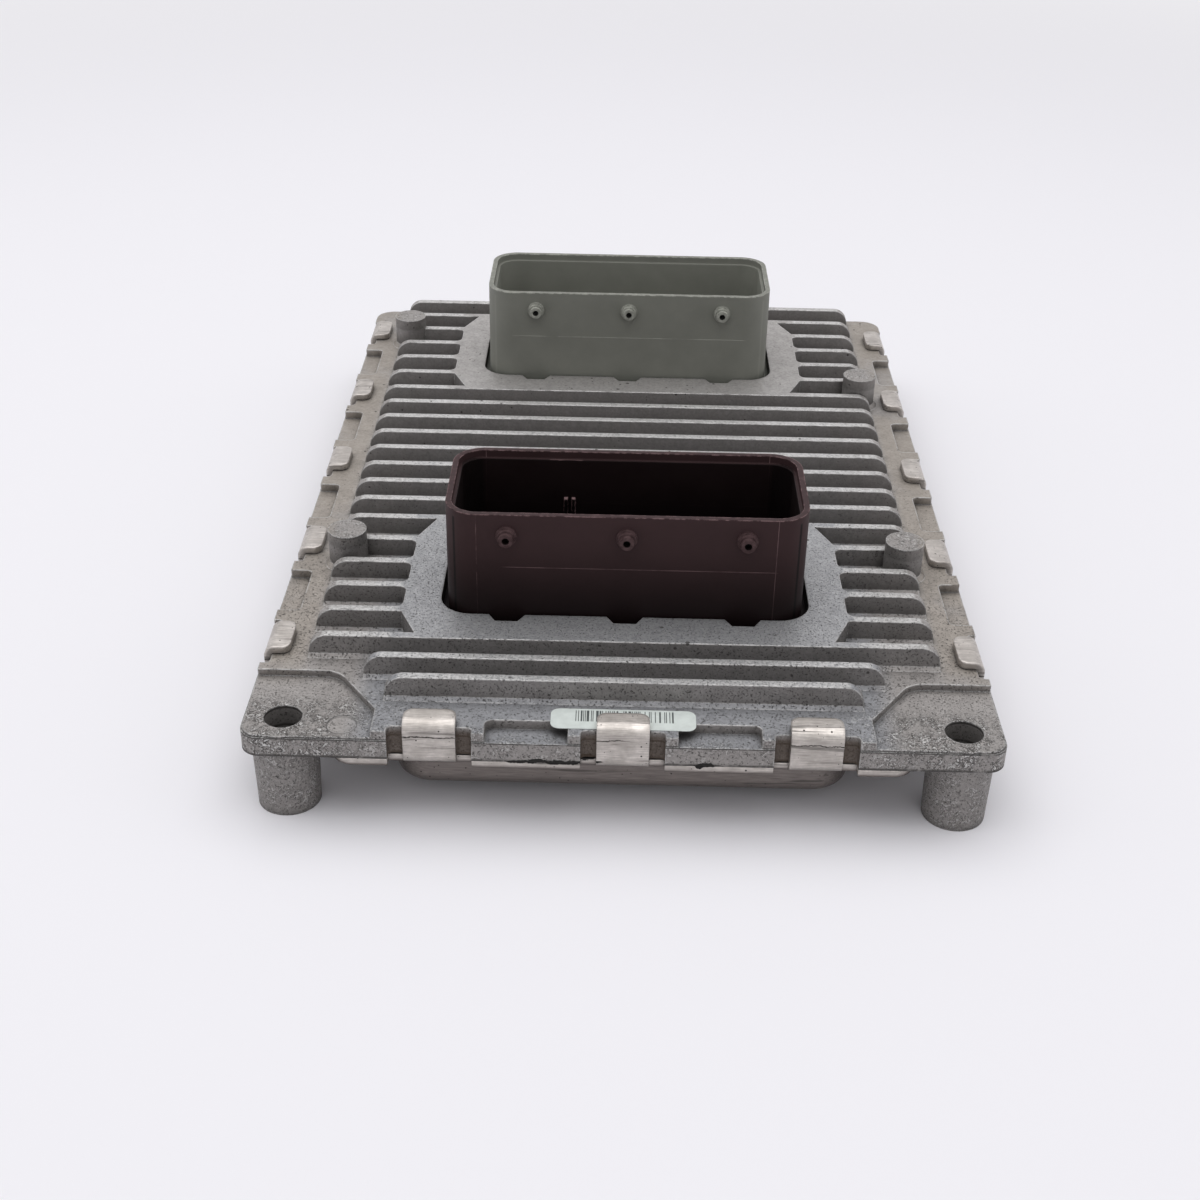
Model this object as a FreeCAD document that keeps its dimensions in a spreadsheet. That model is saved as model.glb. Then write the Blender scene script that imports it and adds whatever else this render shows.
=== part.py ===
import FreeCAD, Part
import math
import os
import Sketcher
from FreeCAD import Placement, Rotation, Vector

# Engine control unit: a finned die-cast housing closed from below by a crimped sheet cover, with two
# sealed plug headers standing through its top and a circuit board inside. Millimetres, +Z up, +Y to the
# rear. The origin is on the floor under the middle of the whole length.

# Driving sizes in millimetres
SIZES = {
    # fixing holes and the feet below them
    "hole_pitch": 120.0,
    "hole_radius": 3.42,
    "hole_side_inset": 7.05,
    "hole_front_inset": 6.1,
    "foot_height": 13.4,
    "foot_top_radius": 6.1,
    "foot_bottom_radius": 5.65,
    "rear_lug_radius": 7.1,
    "rear_lug_corner": 5.3,
    "rear_lug_offset": 6.6,
    "rear_lug_spread": 13.0,
    # flange of the housing
    "flange_thickness": 5.65,
    "flange_front_radius": 3.5,
    "flange_rear_radius": 4.5,
    "parting_height": 3.85,
    "parting_step": 0.25,
    "lug_step": 1.4,
    "lug_length": 18.9,
    "lug_bend_y": 7.2,
    "lug_inner_inset": 23.2,
    "lug_outer_inset": 15.0,
    "lug_bend_radius": 5.0,
    "lug_knee_radius": 2.0,
    "pocket_depth": 1.8,
    "pocket_width": 4.3,
    "pocket_radius": 1.2,
    "pocket_end_gap": 2.5,
    "front_pocket_end_gap": 2.2,
    "ejector_radius": 2.65,
    "ejector_depth": 0.12,
    "ejector_x": 10.7,
    "ejector_y": 1.8,
    # cooling fins
    "fin_height": 4.4,
    "fin_thickness": 1.7,
    "fin_draft": 0.22,
    "fin_root": 0.7,
    "fin_side_inset": 8.85,
    "fin_end_radius": 3.5,
    "fin_first_inset": 11.4,
    "fin_last_inset": 3.4,
    "fin_front_pitch": 6.66,
    "fin_wide_pitch": 9.145,
    "fin_close_pitch": 8.125,
    "fin_front_side_inset": 24.4,
    "fin_second_side_inset": 19.8,
    # raised platforms round the plug headers
    "platform_margin": 8.35,
    "platform_chamfer": 3.6,
    "gap_end_radius": 1.6,
    "platform_wall": 2.4,
    "window_side_gap": 0.55,
    "window_end_gap": 1.3,
    "scallop_width": 6.8,
    "scallop_taper": 1.3,
    "scallop_gap": 0.45,
    # round bosses beside the fins
    "boss_radius": 3.84,
    "boss_front_offset": 2.5,
    "boss_rear_offset": 5.03,
    "boss_height": 7.5,
    "boss_inset": 11.35,
    "boss_root": 0.9,
    # underside of the housing
    "rim_width": 5.9,
    "top_wall": 2.05,
    "groove_inset": 2.7,
    "groove_width": 2.0,
    "groove_depth": 1.2,
    "nose_inset": 15.4,
    "shoulder_gap": 9.0,
    "cavity_radius": 4.0,
    # crimped sheet cover
    "sheet": 1.4,
    "seal_gap": 0.25,
    "seal_side_gap": 0.05,
    "cover_inset": 0.35,
    "pan_inset": 5.2,
    "pan_nose_inset": 26.0,
    "pan_depth": 7.95,
    "pan_radius": 7.0,
    "pan_edge_radius": 2.5,
    "tab_width": 9.2,
    "tab_reach": 4.8,
    "tab_gap": 0.16,
    "tab_bend_radius": 2.0,
    "tab_inner_radius": 0.3,
    "tab_corner_radius": 1.8,
    "notch_width": 14.8,
    "notch_depth": 2.0,
    "notch_radius": 1.0,
    "notch_gap": 0.1,
    "side_tab_first_inset": 28.5,
    "side_tab_last_inset": 15.6,
    "front_tab_inset": 33.3,
    # plug headers
    "shroud_width": 67.3,
    "shroud_depth": 27.6,
    "shroud_radius": 6.0,
    "shroud_height": 20.85,
    "shroud_wall": 1.7,
    "shroud_lip": 1.1,
    "shroud_lip_depth": 1.5,
    "shroud_floor": 1.1,
    "shroud_offset": 0.65,
    "header_flange_margin": 6.2,
    "header_flange_thickness": 2.2,
    "header_seal_thickness": 1.0,
    "header_seal_width": 2.4,
    "header_seal_inset": 0.5,
    "header_pocket_gap": 0.5,
    "base_inset": 1.0,
    "peg_pitch": 22.1,
    "peg_drop": 4.2,
    "peg_root_radius": 1.95,
    "peg_root_length": 0.7,
    "peg_radius": 1.65,
    "peg_length": 1.5,
    "peg_tip_radius": 1.35,
    "peg_tip_length": 0.9,
    "peg_hole_radius": 0.65,
    "peg_hole_depth": 1.6,
    "key_width": 0.7,
    "key_depth": 0.9,
    "key_drop": 9.4,
    "front_key_x": 12.0,
    "front_key_gap": 1.5,
    "rear_key_left_x": 24.0,
    "rear_key_right_x": 17.3,
    "rear_key_gap": 3.2,
    # contacts
    "signal_pin": 0.8,
    "signal_pitch_x": 3.5,
    "signal_pitch_y": 4.5,
    "signal_first_x": 27.5,
    "blade_width": 2.4,
    "blade_pitch_x": 4.6,
    "blade_pitch_y": 8.0,
    "blade_first_x": 15.2,
    "pin_height": 8.5,
    "pin_tail": 0.9,
    "pin_gap": 0.05,
    # circuit board and its screws
    "board_drop": 3.0,
    "board_thickness": 1.6,
    "board_gap": 0.8,
    "board_radius": 5.0,
    "post_radius": 3.2,
    "post_side_inset": 5.6,
    "post_end_inset": 9.0,
    "screw_radius": 1.4,
    "screw_depth": 2.5,
    "screw_head_radius": 2.7,
    "screw_head_height": 1.6,
    "screw_gap": 0.1,
    # parts on the board
    "processor_width": 24.0,
    "processor_height": 1.6,
    "manager_width": 14.0,
    "manager_height": 1.5,
    "manager_x": 32.0,
    "driver_width": 11.0,
    "driver_height": 1.4,
    "driver_pitch": 17.0,
    "driver_y": 18.5,
    "transistor_width": 6.5,
    "transistor_length": 8.5,
    "transistor_height": 1.8,
    "transistor_pitch": 11.5,
    "transistor_y": 19.0,
    "crystal_length": 8.0,
    "crystal_width": 3.6,
    "crystal_height": 1.3,
    "crystal_offset": 17.5,
    "sensor_width": 7.0,
    "sensor_height": 2.0,
    "sensor_x": 46.0,
    "capacitor_radius": 5.0,
    "capacitor_height": 6.0,
    "capacitor_pitch": 12.5,
    "capacitor_x": 30.0,
    "inductor_width": 12.0,
    "inductor_height": 5.2,
    "inductor_radius": 2.0,
    "inductor_x": 12.0,
    "regulator_width": 10.0,
    "regulator_height": 2.3,
    "regulator_x": 30.0,
    "chip_length": 3.2,
    "chip_width": 1.6,
    "chip_height": 1.0,
    "chip_pitch": 5.5,
    "chip_y": 19.0,
    # barcode label
    "label_length": 25.5,
    "label_width": 6.0,
    "label_thickness": 0.1,
    "label_radius": 1.6,
    "label_inset": 2.4,
}

# The plane of symmetry between left and right
MIDDLE = 0.0

# Counts of repeated features
FRONT_GAPS = 2
GAP_END_REACH = 1.1
PLATFORM_GAPS = 5
MIDDLE_GAPS = 8
REAR_GAPS = 1
SIDE_TABS = 5
FRONT_TABS = 3
SIGNAL_COLUMNS = 11
SIGNAL_ROWS = 3
BLADE_COLUMNS = 4
BLADE_ROWS = 2
DRIVERS = 4
TRANSISTORS = 4
CHIPS = 8


class Size:
    """A length with its value and the formula that ties it to the sheet."""

    def __init__(self, value, formula):
        self.value = value
        self.formula = formula

    def joined(self, sign, other, value):
        return Size(value, f"({self.formula} {sign} {formula_of(other)})")

    def __add__(self, other):
        return self.joined("+", other, self.value + value_of(other))

    def __radd__(self, other):
        return Size(value_of(other), formula_of(other)) + self

    def __rsub__(self, other):
        return Size(value_of(other), formula_of(other)) - self

    def __sub__(self, other):
        return self.joined("-", other, self.value - value_of(other))

    def __mul__(self, other):
        return self.joined("*", other, self.value * value_of(other))

    def __truediv__(self, other):
        return self.joined("/", other, self.value / value_of(other))

    def __neg__(self):
        return Size(-self.value, f"(-1 * {self.formula})")


def value_of(size):
    return size.value if isinstance(size, Size) else float(size)


def formula_of(size):
    return size.formula if isinstance(size, Size) else repr(float(size))


class Sheet:
    """The driving sizes as named attributes."""

    def __init__(self, doc, sizes):
        self.page = doc.addObject("Spreadsheet::Sheet", "Sizes")
        for row, (name, value) in enumerate(sizes.items(), start=1):
            self.page.set(f"A{row}", name)
            self.page.set(f"B{row}", str(value))
            self.page.setAlias(f"B{row}", name)
        doc.recompute()

    def __getattr__(self, name):
        return Size(float(self.page.get(name)), f"Sizes.{name}")


doc = FreeCAD.newDocument("engine_control_unit")
dim = Sheet(doc, SIZES)

# Lengths of the fin field, from the front edge of the flange
front_field = dim.fin_front_pitch * FRONT_GAPS
platform_field = dim.fin_wide_pitch * PLATFORM_GAPS
middle_field = dim.fin_close_pitch * MIDDLE_GAPS
rear_field = dim.fin_wide_pitch * REAR_GAPS
fin_field = front_field + platform_field + middle_field + platform_field + rear_field

# Outline of the housing
body_length = dim.fin_first_inset + fin_field + dim.fin_last_inset
rear_reach = dim.rear_lug_offset + dim.rear_lug_radius
side_x = dim.hole_pitch / 2 + dim.hole_side_inset
front_y = -(body_length + rear_reach) / 2
rear_y = front_y + body_length
hole_x = dim.hole_pitch / 2
front_hole_y = front_y + dim.hole_front_inset
rear_hole_y = rear_y + dim.rear_lug_offset

# Heights above the floor
rim_z = dim.foot_height
flange_z = rim_z + dim.flange_thickness
lug_z = flange_z - dim.lug_step
fin_z = flange_z + dim.fin_height
ceiling_z = flange_z - dim.top_wall
platform_ceiling_z = fin_z - dim.platform_wall
board_top_z = ceiling_z - dim.board_drop
board_bottom_z = board_top_z - dim.board_thickness
cover_top_z = rim_z - dim.seal_gap
cover_bottom_z = cover_top_z - dim.sheet
shroud_z = fin_z + dim.shroud_height
header_flange_z = platform_ceiling_z - dim.header_seal_thickness
shroud_floor_z = fin_z + dim.shroud_floor

# Rows of fins that bound the platforms
first_fin_y = front_y + dim.fin_first_inset
front_platform_y = first_fin_y + front_field
front_platform_end_y = front_platform_y + platform_field
rear_platform_y = front_platform_end_y + middle_field
rear_platform_end_y = rear_platform_y + platform_field
platform_x = dim.shroud_width / 2 + dim.platform_margin
front_header_y = (front_platform_y + front_platform_end_y) / 2 - dim.shroud_offset
rear_header_y = (rear_platform_y + rear_platform_end_y) / 2 - dim.shroud_offset
middle_y = (front_platform_end_y + rear_platform_y) / 2

# Crimp tabs of the cover
side_tab_y = front_y + dim.side_tab_first_inset
side_tab_pitch = (body_length - dim.side_tab_first_inset - dim.side_tab_last_inset) / (SIDE_TABS - 1)
front_tab_pitch = side_x - dim.front_tab_inset


def bind(thing, prop, size):
    """Set a property and tie it to the sheet."""
    thing.setExpression(prop, formula_of(size))


def new_body(name, several=False):
    body = doc.addObject("PartDesign::Body", name)
    body.Label = name
    body.AllowCompound = several
    return body


def origin_part(body, role):
    return [part for part in body.Origin.OriginFeatures if part.Role == role][0]


def new_sketch(body, name, plane, offset):
    """An empty sketch parallel to one of the body's own planes; offset runs along +Z, +X or +Y."""
    sketch = body.newObject("Sketcher::SketchObject", name)
    sketch.AttachmentSupport = [(origin_part(body, plane), "")]
    sketch.MapMode = "FlatFace"
    along = -value_of(offset) if plane == "XZ_Plane" else value_of(offset)
    sketch.AttachmentOffset = Placement(Vector(0, 0, along), Rotation())
    bind(sketch, "AttachmentOffset.Base.z", -offset if plane == "XZ_Plane" else offset)
    return sketch


def fix_point(sketch, geometry, position, x, y):
    """Place one point of a sketch by its two coordinates."""
    for axis, size in (("DistanceX", x), ("DistanceY", y)):
        index = sketch.addConstraint(Sketcher.Constraint(axis, geometry, position, value_of(size)))
        bind(sketch, f"Constraints[{index}]", size)


def circle(sketch, x, y, radius):
    centre = Vector(value_of(x), value_of(y), 0)
    index = sketch.addGeometry(Part.Circle(centre, Vector(0, 0, 1), value_of(radius)))
    fix_point(sketch, index, 3, x, y)
    constraint = sketch.addConstraint(Sketcher.Constraint("Radius", index, value_of(radius)))
    bind(sketch, f"Constraints[{constraint}]", radius)


def outline(sketch, corners):
    """A closed outline through corners (x, y) or (x, y, radius); a radius rounds its corner."""
    count = len(corners)
    spots = [Vector(value_of(corner[0]), value_of(corner[1]), 0) for corner in corners]
    starts = []
    ends = []
    for i, corner in enumerate(corners):
        before = (spots[i - 1] - spots[i]).normalize()
        after = (spots[(i + 1) % count] - spots[i]).normalize()
        reach = 0.0
        if len(corner) == 3:
            reach = value_of(corner[2]) / math.tan(before.getAngle(after) / 2)
        ends.append(spots[i] + before * reach)
        starts.append(spots[i] + after * reach)
    lines = []
    for i in range(count):
        lines.append(sketch.addGeometry(Part.LineSegment(starts[i], ends[(i + 1) % count])))
    for i, corner in enumerate(corners):
        if len(corner) == 2:
            sketch.addConstraint(Sketcher.Constraint("Coincident", lines[i - 1], 2, lines[i], 1))
            fix_point(sketch, lines[i], 1, corner[0], corner[1])
        else:
            round_corner(sketch, lines[i - 1], lines[i], spots[i], corner)


def round_corner(sketch, line_in, line_out, spot, corner):
    """An arc between two lines that would meet at a corner, with the corner kept as a fixed point."""
    start = sketch.Geometry[line_in].EndPoint
    end = sketch.Geometry[line_out].StartPoint
    radius = value_of(corner[2])
    towards = ((start + end) / 2 - spot).normalize()
    half = (start - spot).getAngle(end - spot) / 2
    centre = spot + towards * (radius / math.sin(half))
    first = 1 if (start - centre).cross(end - centre).z > 0 else 2
    low, high = (start, end) if first == 1 else (end, start)
    angles = [math.atan2(point.y - centre.y, point.x - centre.x) for point in (low, high)]
    if angles[1] < angles[0]:
        angles[1] += 2 * math.pi
    arc = sketch.addGeometry(Part.ArcOfCircle(Part.Circle(centre, Vector(0, 0, 1), radius), *angles))
    point = sketch.addGeometry(Part.Point(spot), True)
    fix_point(sketch, point, 1, corner[0], corner[1])
    sketch.addConstraint(Sketcher.Constraint("PointOnObject", point, 1, line_in))
    sketch.addConstraint(Sketcher.Constraint("PointOnObject", point, 1, line_out))
    sketch.addConstraint(Sketcher.Constraint("Tangent", line_in, 2, arc, first))
    sketch.addConstraint(Sketcher.Constraint("Tangent", line_out, 1, arc, 3 - first))
    index = sketch.addConstraint(Sketcher.Constraint("Radius", arc, radius))
    bind(sketch, f"Constraints[{index}]", corner[2])


def box(sketch, x0, x1, y0, y1, radius=None):
    """A rectangle between two corners, with all its corners rounded or none."""
    end = () if radius is None else (radius,)
    outline(sketch, [(x0, y0, *end), (x1, y0, *end), (x1, y1, *end), (x0, y1, *end)])


def centred_box(sketch, x, y, width, depth, radius=None):
    box(sketch, x - width / 2, x + width / 2, y - depth / 2, y + depth / 2, radius)


def pad(body, sketch, length, name, reverse=False, symmetric=False):
    feature = body.newObject("PartDesign::Pad", name)
    feature.Profile = sketch
    feature.Reversed = reverse
    feature.SideType = "Symmetric" if symmetric else "One side"
    feature.Refine = False
    bind(feature, "Length", length)
    sketch.Visibility = False
    body.Tip = feature
    return feature


def pocket(body, sketch, length, name, reverse=False, symmetric=False):
    """Cut a sketch's outlines away, downwards from a level sketch or upwards when reversed."""
    feature = body.newObject("PartDesign::Pocket", name)
    feature.Profile = sketch
    feature.Reversed = reverse
    feature.SideType = "Symmetric" if symmetric else "One side"
    feature.Refine = False
    bind(feature, "Length", length)
    sketch.Visibility = False
    body.Tip = feature
    return feature


def repeat(body, features, axis, count, pitch, name):
    """Repeat features in a row along an axis of the body."""
    pattern = body.newObject("PartDesign::LinearPattern", name)
    pattern.Originals = features
    pattern.Direction = (origin_part(body, axis), [""])
    pattern.Occurrences = count
    pattern.Refine = False
    bind(pattern, "Length", pitch * (count - 1))
    body.Tip = pattern
    return pattern


def grid(body, features, columns, rows, pitch_x, pitch_y, name):
    """Repeat features in columns along X and rows along Y."""
    field = body.newObject("PartDesign::MultiTransform", name)
    field.Originals = features
    field.Refine = False
    steps = []
    for axis, count, pitch in (("X_Axis", columns, pitch_x), ("Y_Axis", rows, pitch_y)):
        step = body.newObject("PartDesign::LinearPattern", f"{name}_{axis[0].lower()}")
        step.Direction = (origin_part(body, axis), [""])
        step.Occurrences = count
        bind(step, "Length", pitch * (count - 1))
        steps.append(step)
    field.Transformations = steps
    body.Tip = field
    return field


def level_face(feature, height):
    """The name of the largest level face of a feature at a height."""
    doc.recompute()
    faces = enumerate(feature.Shape.Faces, start=1)
    level = [(face.Area, index) for index, face in faces if abs(face.CenterOfMass.z - value_of(height)) < 1e-4
             and face.BoundBox.ZLength < 1e-4]
    return f"Face{max(level)[1]}"


def round_face(body, feature, height, radius, name):
    """Round every edge of the level face at a height."""
    edge = body.newObject("PartDesign::Fillet", name)
    edge.Base = (feature, [level_face(feature, height)])
    edge.Refine = False
    bind(edge, "Radius", radius)
    body.Tip = edge
    return edge


def nosed_outline(sketch, inset, nose_x, radius, nose_radius, shoulder_radius):
    """The plan of what lies between the feet: a rectangle with its two front corners stepped in."""
    half = side_x - inset
    back = rear_y - inset
    shoulder = front_hole_y + dim.shoulder_gap + inset
    front = front_y + inset
    right = [(nose_x, front, nose_radius), (nose_x, shoulder, shoulder_radius), (half, shoulder, radius),
             (half, back, radius)]
    left = [(-corner[0], corner[1], corner[2]) for corner in reversed(right)]
    outline(sketch, right + left)


def add_flange(body):
    """The block of the housing: a lower wall up to the parting line and a slightly smaller upper one."""
    upper = dim.flange_thickness - dim.parting_height
    heights = [(rim_z, dim.parting_height, 0.0), (rim_z + dim.parting_height, upper, 1.0)]
    for index, (base, height, steps) in enumerate(heights):
        inset = dim.parting_step * steps
        sketch = new_sketch(body, f"flange_outline_{index}", "XY_Plane", base)
        half = side_x - inset
        front = front_y + inset
        back = rear_y - inset
        outline(sketch, [
            (-half, front, dim.flange_front_radius), (half, front, dim.flange_front_radius),
            (half, back, dim.flange_rear_radius), (-half, back, dim.flange_rear_radius)])
        pad(body, sketch, height, f"flange_{index}")


def add_rear_lug(body):
    """An ear behind the rear edge that carries the third fixing hole."""
    sketch = new_sketch(body, "rear_lug_outline", "XY_Plane", rim_z)
    outline(sketch, [
        (-dim.rear_lug_spread, rear_y - dim.rim_width), (dim.rear_lug_spread, rear_y - dim.rim_width),
        (dim.rear_lug_spread, rear_y - dim.parting_step),
        (dim.rear_lug_radius, rear_hole_y + dim.rear_lug_radius, dim.rear_lug_corner),
        (-dim.rear_lug_radius, rear_hole_y + dim.rear_lug_radius, dim.rear_lug_corner),
        (-dim.rear_lug_spread, rear_y - dim.parting_step)])
    pad(body, sketch, dim.flange_thickness - dim.lug_step, "rear_lug")


def add_feet(body):
    """Tapered feet under the three fixing holes."""
    for index, (x, y) in enumerate(((-hole_x, front_hole_y), (hole_x, front_hole_y), (MIDDLE, rear_hole_y))):
        foot = body.newObject("PartDesign::AdditiveCone", f"foot_{index}")
        foot.AttachmentSupport = [(origin_part(body, "XY_Plane"), "")]
        foot.MapMode = "FlatFace"
        foot.Refine = False
        bind(foot, "AttachmentOffset.Base.x", x)
        bind(foot, "AttachmentOffset.Base.y", y)
        bind(foot, "Radius1", dim.foot_bottom_radius)
        bind(foot, "Radius2", dim.foot_top_radius)
        bind(foot, "Height", dim.foot_height + dim.flange_thickness - dim.lug_step)
        body.Tip = foot


def cut_lug_steps(body):
    """The lower seats round the two front fixing holes."""
    sketch = new_sketch(body, "lug_steps", "XY_Plane", flange_z)
    for side in (-1.0, 1.0):
        outer = (side_x + dim.parting_step) * side
        knee = (side_x - dim.lug_outer_inset) * side
        inner = (side_x - dim.lug_inner_inset) * side
        back = front_y + dim.lug_length
        bend = front_y + dim.lug_bend_y
        corners = [
            (outer, front_y - dim.parting_step), (inner, front_y - dim.parting_step),
            (inner, bend, dim.lug_knee_radius), (knee, back, dim.lug_bend_radius), (outer, back)]
        outline(sketch, corners if side < 0 else corners[::-1])
    pocket(body, sketch, dim.lug_step, "lug_step_cut")
    mark = new_sketch(body, "ejector_mark", "XY_Plane", lug_z)
    circle(mark, dim.ejector_x - hole_x, front_hole_y - dim.ejector_y, dim.ejector_radius)
    pocket(body, mark, dim.ejector_depth, "ejector_mark_cut")


def fin_section(sketch, y):
    """The section of one fin: drafted sides that flare into the flange."""
    half_top = dim.fin_thickness / 2
    half_foot = half_top + dim.fin_draft
    toe = half_foot + dim.fin_root
    top = flange_z + dim.fin_height
    outline(sketch, [
        (y - toe, flange_z - dim.parting_step), (y + toe, flange_z - dim.parting_step), (y + toe, flange_z),
        (y + half_foot, flange_z + dim.fin_root), (y + half_top, top), (y - half_top, top),
        (y - half_foot, flange_z + dim.fin_root), (y - toe, flange_z)])


def cut_fin_ends(body, name, half, y, length):
    """Round the outer ends of a field of fins down to the flange, from y towards the rear."""
    sketch = new_sketch(body, f"{name}_ends", "XZ_Plane", y)
    for side in (-1.0, 1.0):
        inner = (half - dim.fin_end_radius * 2) * side
        face = half * side
        outer = (half + dim.fin_end_radius) * side
        above = fin_z + dim.fin_end_radius
        outline(sketch, turned([
            (inner, fin_z), (face, fin_z, dim.fin_end_radius), (face, flange_z), (outer, flange_z),
            (outer, above), (inner, above)], side))
    pocket(body, sketch, length, f"{name}_end_cut")


def turned(corners, side):
    """The corners in the same sense of turn on either side of the middle."""
    return corners if side > 0 else corners[::-1]


def add_fins(body):
    """Five fields of fins; the two rows in front are shorter than the rest."""
    full = side_x - dim.fin_side_inset
    second_y = first_fin_y + dim.fin_front_pitch
    rows = [
        ("fin_front", side_x - dim.fin_front_side_inset, first_fin_y, 1, dim.fin_front_pitch),
        ("fin_second", side_x - dim.fin_second_side_inset, second_y, 1, dim.fin_front_pitch),
        ("fins_front_platform", full, front_platform_y, PLATFORM_GAPS, dim.fin_wide_pitch),
        ("fins_middle", full, front_platform_end_y, MIDDLE_GAPS, dim.fin_close_pitch),
        ("fins_rear_platform", full, rear_platform_y, PLATFORM_GAPS + REAR_GAPS + 1, dim.fin_wide_pitch)]
    for name, half, y, count, pitch in rows:
        sketch = new_sketch(body, f"{name}_section", "YZ_Plane", MIDDLE)
        fin_section(sketch, y)
        fin = pad(body, sketch, half * 2, name, symmetric=True)
        if count > 1:
            repeat(body, [fin], "Y_Axis", count, pitch, f"{name}_row")
        reach = dim.fin_thickness / 2 + dim.fin_draft + dim.fin_root
        cut_fin_ends(body, name, half, y - reach, pitch * (count - 1) + reach * 2)


def add_platforms(body):
    """Flat islands at the height of the fins, which hold the windows for the two headers."""
    rows = ((front_platform_y, front_platform_end_y), (rear_platform_y, rear_platform_end_y))
    for index, (front, back) in enumerate(rows):
        sketch = new_sketch(body, f"platform_outline_{index}", "XY_Plane", flange_z)
        tip = platform_x - dim.platform_chamfer
        knee_front = front + dim.fin_wide_pitch - dim.fin_thickness / 2
        knee_back = back - dim.fin_wide_pitch + dim.fin_thickness / 2
        right = [(tip, front), (platform_x, knee_front), (platform_x, knee_back), (tip, back)]
        left = [(-corner[0], corner[1]) for corner in reversed(right)]
        outline(sketch, right + left)
        pad(body, sketch, dim.fin_height, f"platform_{index}")
        round_gap_ends(body, front, f"gap_ends_{index}")


def round_gap_ends(body, front, name):
    """Round the inner ends of the gaps that stop square against the side of a platform."""
    radius = dim.gap_end_radius
    reach = radius * GAP_END_REACH
    bite = dim.fin_thickness / 4
    sketch = new_sketch(body, f"{name}_outline", "XY_Plane", flange_z)
    near_y = front + dim.fin_wide_pitch + dim.fin_thickness / 2
    far_y = front + dim.fin_wide_pitch * 2 - dim.fin_thickness / 2
    for side in (-1.0, 1.0):
        for y, turn in ((near_y, 1.0), (far_y, -1.0)):
            x = platform_x * side
            corners = [
                (x - bite * side, y - bite * turn), (x + reach * side, y - bite * turn),
                (x + reach * side, y), (x, y, radius), (x, y + reach * turn),
                (x - bite * side, y + reach * turn)]
            outline(sketch, turned(corners, side * turn))
    ends = pad(body, sketch, dim.fin_height, name)
    repeat(body, [ends], "Y_Axis", PLATFORM_GAPS - 2, dim.fin_wide_pitch, f"{name}_row")


def add_bosses(body):
    """Round bosses at the ends of the fins, each on a flared root."""
    boss_x = side_x - dim.boss_inset
    front_boss_y = front_platform_end_y - dim.fin_wide_pitch - dim.boss_front_offset
    spots = [(-boss_x, front_boss_y), (boss_x, front_boss_y),
             (boss_x, rear_platform_y + dim.boss_rear_offset),
             (-boss_x, rear_platform_end_y - dim.fin_wide_pitch)]
    sketch = new_sketch(body, "boss_circles", "XY_Plane", ceiling_z)
    roots = new_sketch(body, "boss_root_circles", "XY_Plane", flange_z)
    for x, y in spots:
        circle(sketch, x, y, dim.boss_radius)
        circle(roots, x, y, dim.boss_radius + dim.boss_root)
    pad(body, sketch, dim.boss_height + dim.top_wall, "bosses")
    pad(body, roots, dim.boss_root, "boss_roots").TaperAngle = -45


def cut_cavity(body):
    """The cavity for the board and the groove for the seal."""
    sketch = new_sketch(body, "cavity_outline", "XY_Plane", rim_z)
    rim_outline(sketch, dim.rim_width)
    pocket(body, sketch, ceiling_z - rim_z, "cavity", reverse=True)
    groove = new_sketch(body, "groove_outlines", "XY_Plane", rim_z)
    rim_outline(groove, dim.groove_inset)
    rim_outline(groove, dim.groove_inset + dim.groove_width)
    pocket(body, groove, dim.groove_depth, "seal_groove", reverse=True)


def rim_outline(sketch, inset):
    """The plan of the rim at some distance in from its edge."""
    radius = dim.cavity_radius
    nosed_outline(sketch, inset, side_x - dim.nose_inset - inset, radius, radius, radius)


def cut_header_pockets(body):
    """Deeper pockets under the platforms for the flanges of the headers."""
    sketch = new_sketch(body, "header_pocket_outlines", "XY_Plane", rim_z)
    margin = (dim.header_flange_margin + dim.header_pocket_gap) * 2
    width = dim.shroud_width + margin
    depth = dim.shroud_depth + margin
    for y in (front_header_y, rear_header_y):
        centred_box(sketch, MIDDLE, y, width, depth, dim.shroud_radius)
    pocket(body, sketch, platform_ceiling_z - rim_z, "header_pockets", reverse=True)


def add_posts(body):
    """Posts under the ceiling that the board is screwed to."""
    sketch = new_sketch(body, "post_circles", "XY_Plane", board_top_z)
    for x, y in post_spots():
        circle(sketch, x, y, dim.post_radius)
    pad(body, sketch, dim.board_drop + dim.top_wall / 2, "posts")
    holes = new_sketch(body, "post_holes", "XY_Plane", board_top_z)
    for x, y in post_spots():
        circle(holes, x, y, dim.screw_radius)
    pocket(body, holes, dim.screw_depth, "post_hole_cut", reverse=True)


def post_spots():
    x = side_x - dim.rim_width - dim.post_side_inset
    shoulder = front_hole_y + dim.shoulder_gap + dim.rim_width
    back = rear_y - dim.rim_width
    rows = (shoulder + dim.post_end_inset, middle_y, back - dim.post_end_inset)
    return [(sign_x, y) for y in rows for sign_x in (-x, x)]


def cut_windows(body):
    """Openings in the platforms, scalloped where the pegs of the header pass."""
    sketch = new_sketch(body, "window_outlines", "XY_Plane", fin_z)
    for y in (front_header_y, rear_header_y):
        front = window_side(y, -1.0)
        back = [(-x, *rest) for x, *rest in window_side(y, 1.0)]
        outline(sketch, front + back)
    pocket(body, sketch, dim.platform_wall + dim.parting_step, "windows")


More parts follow.
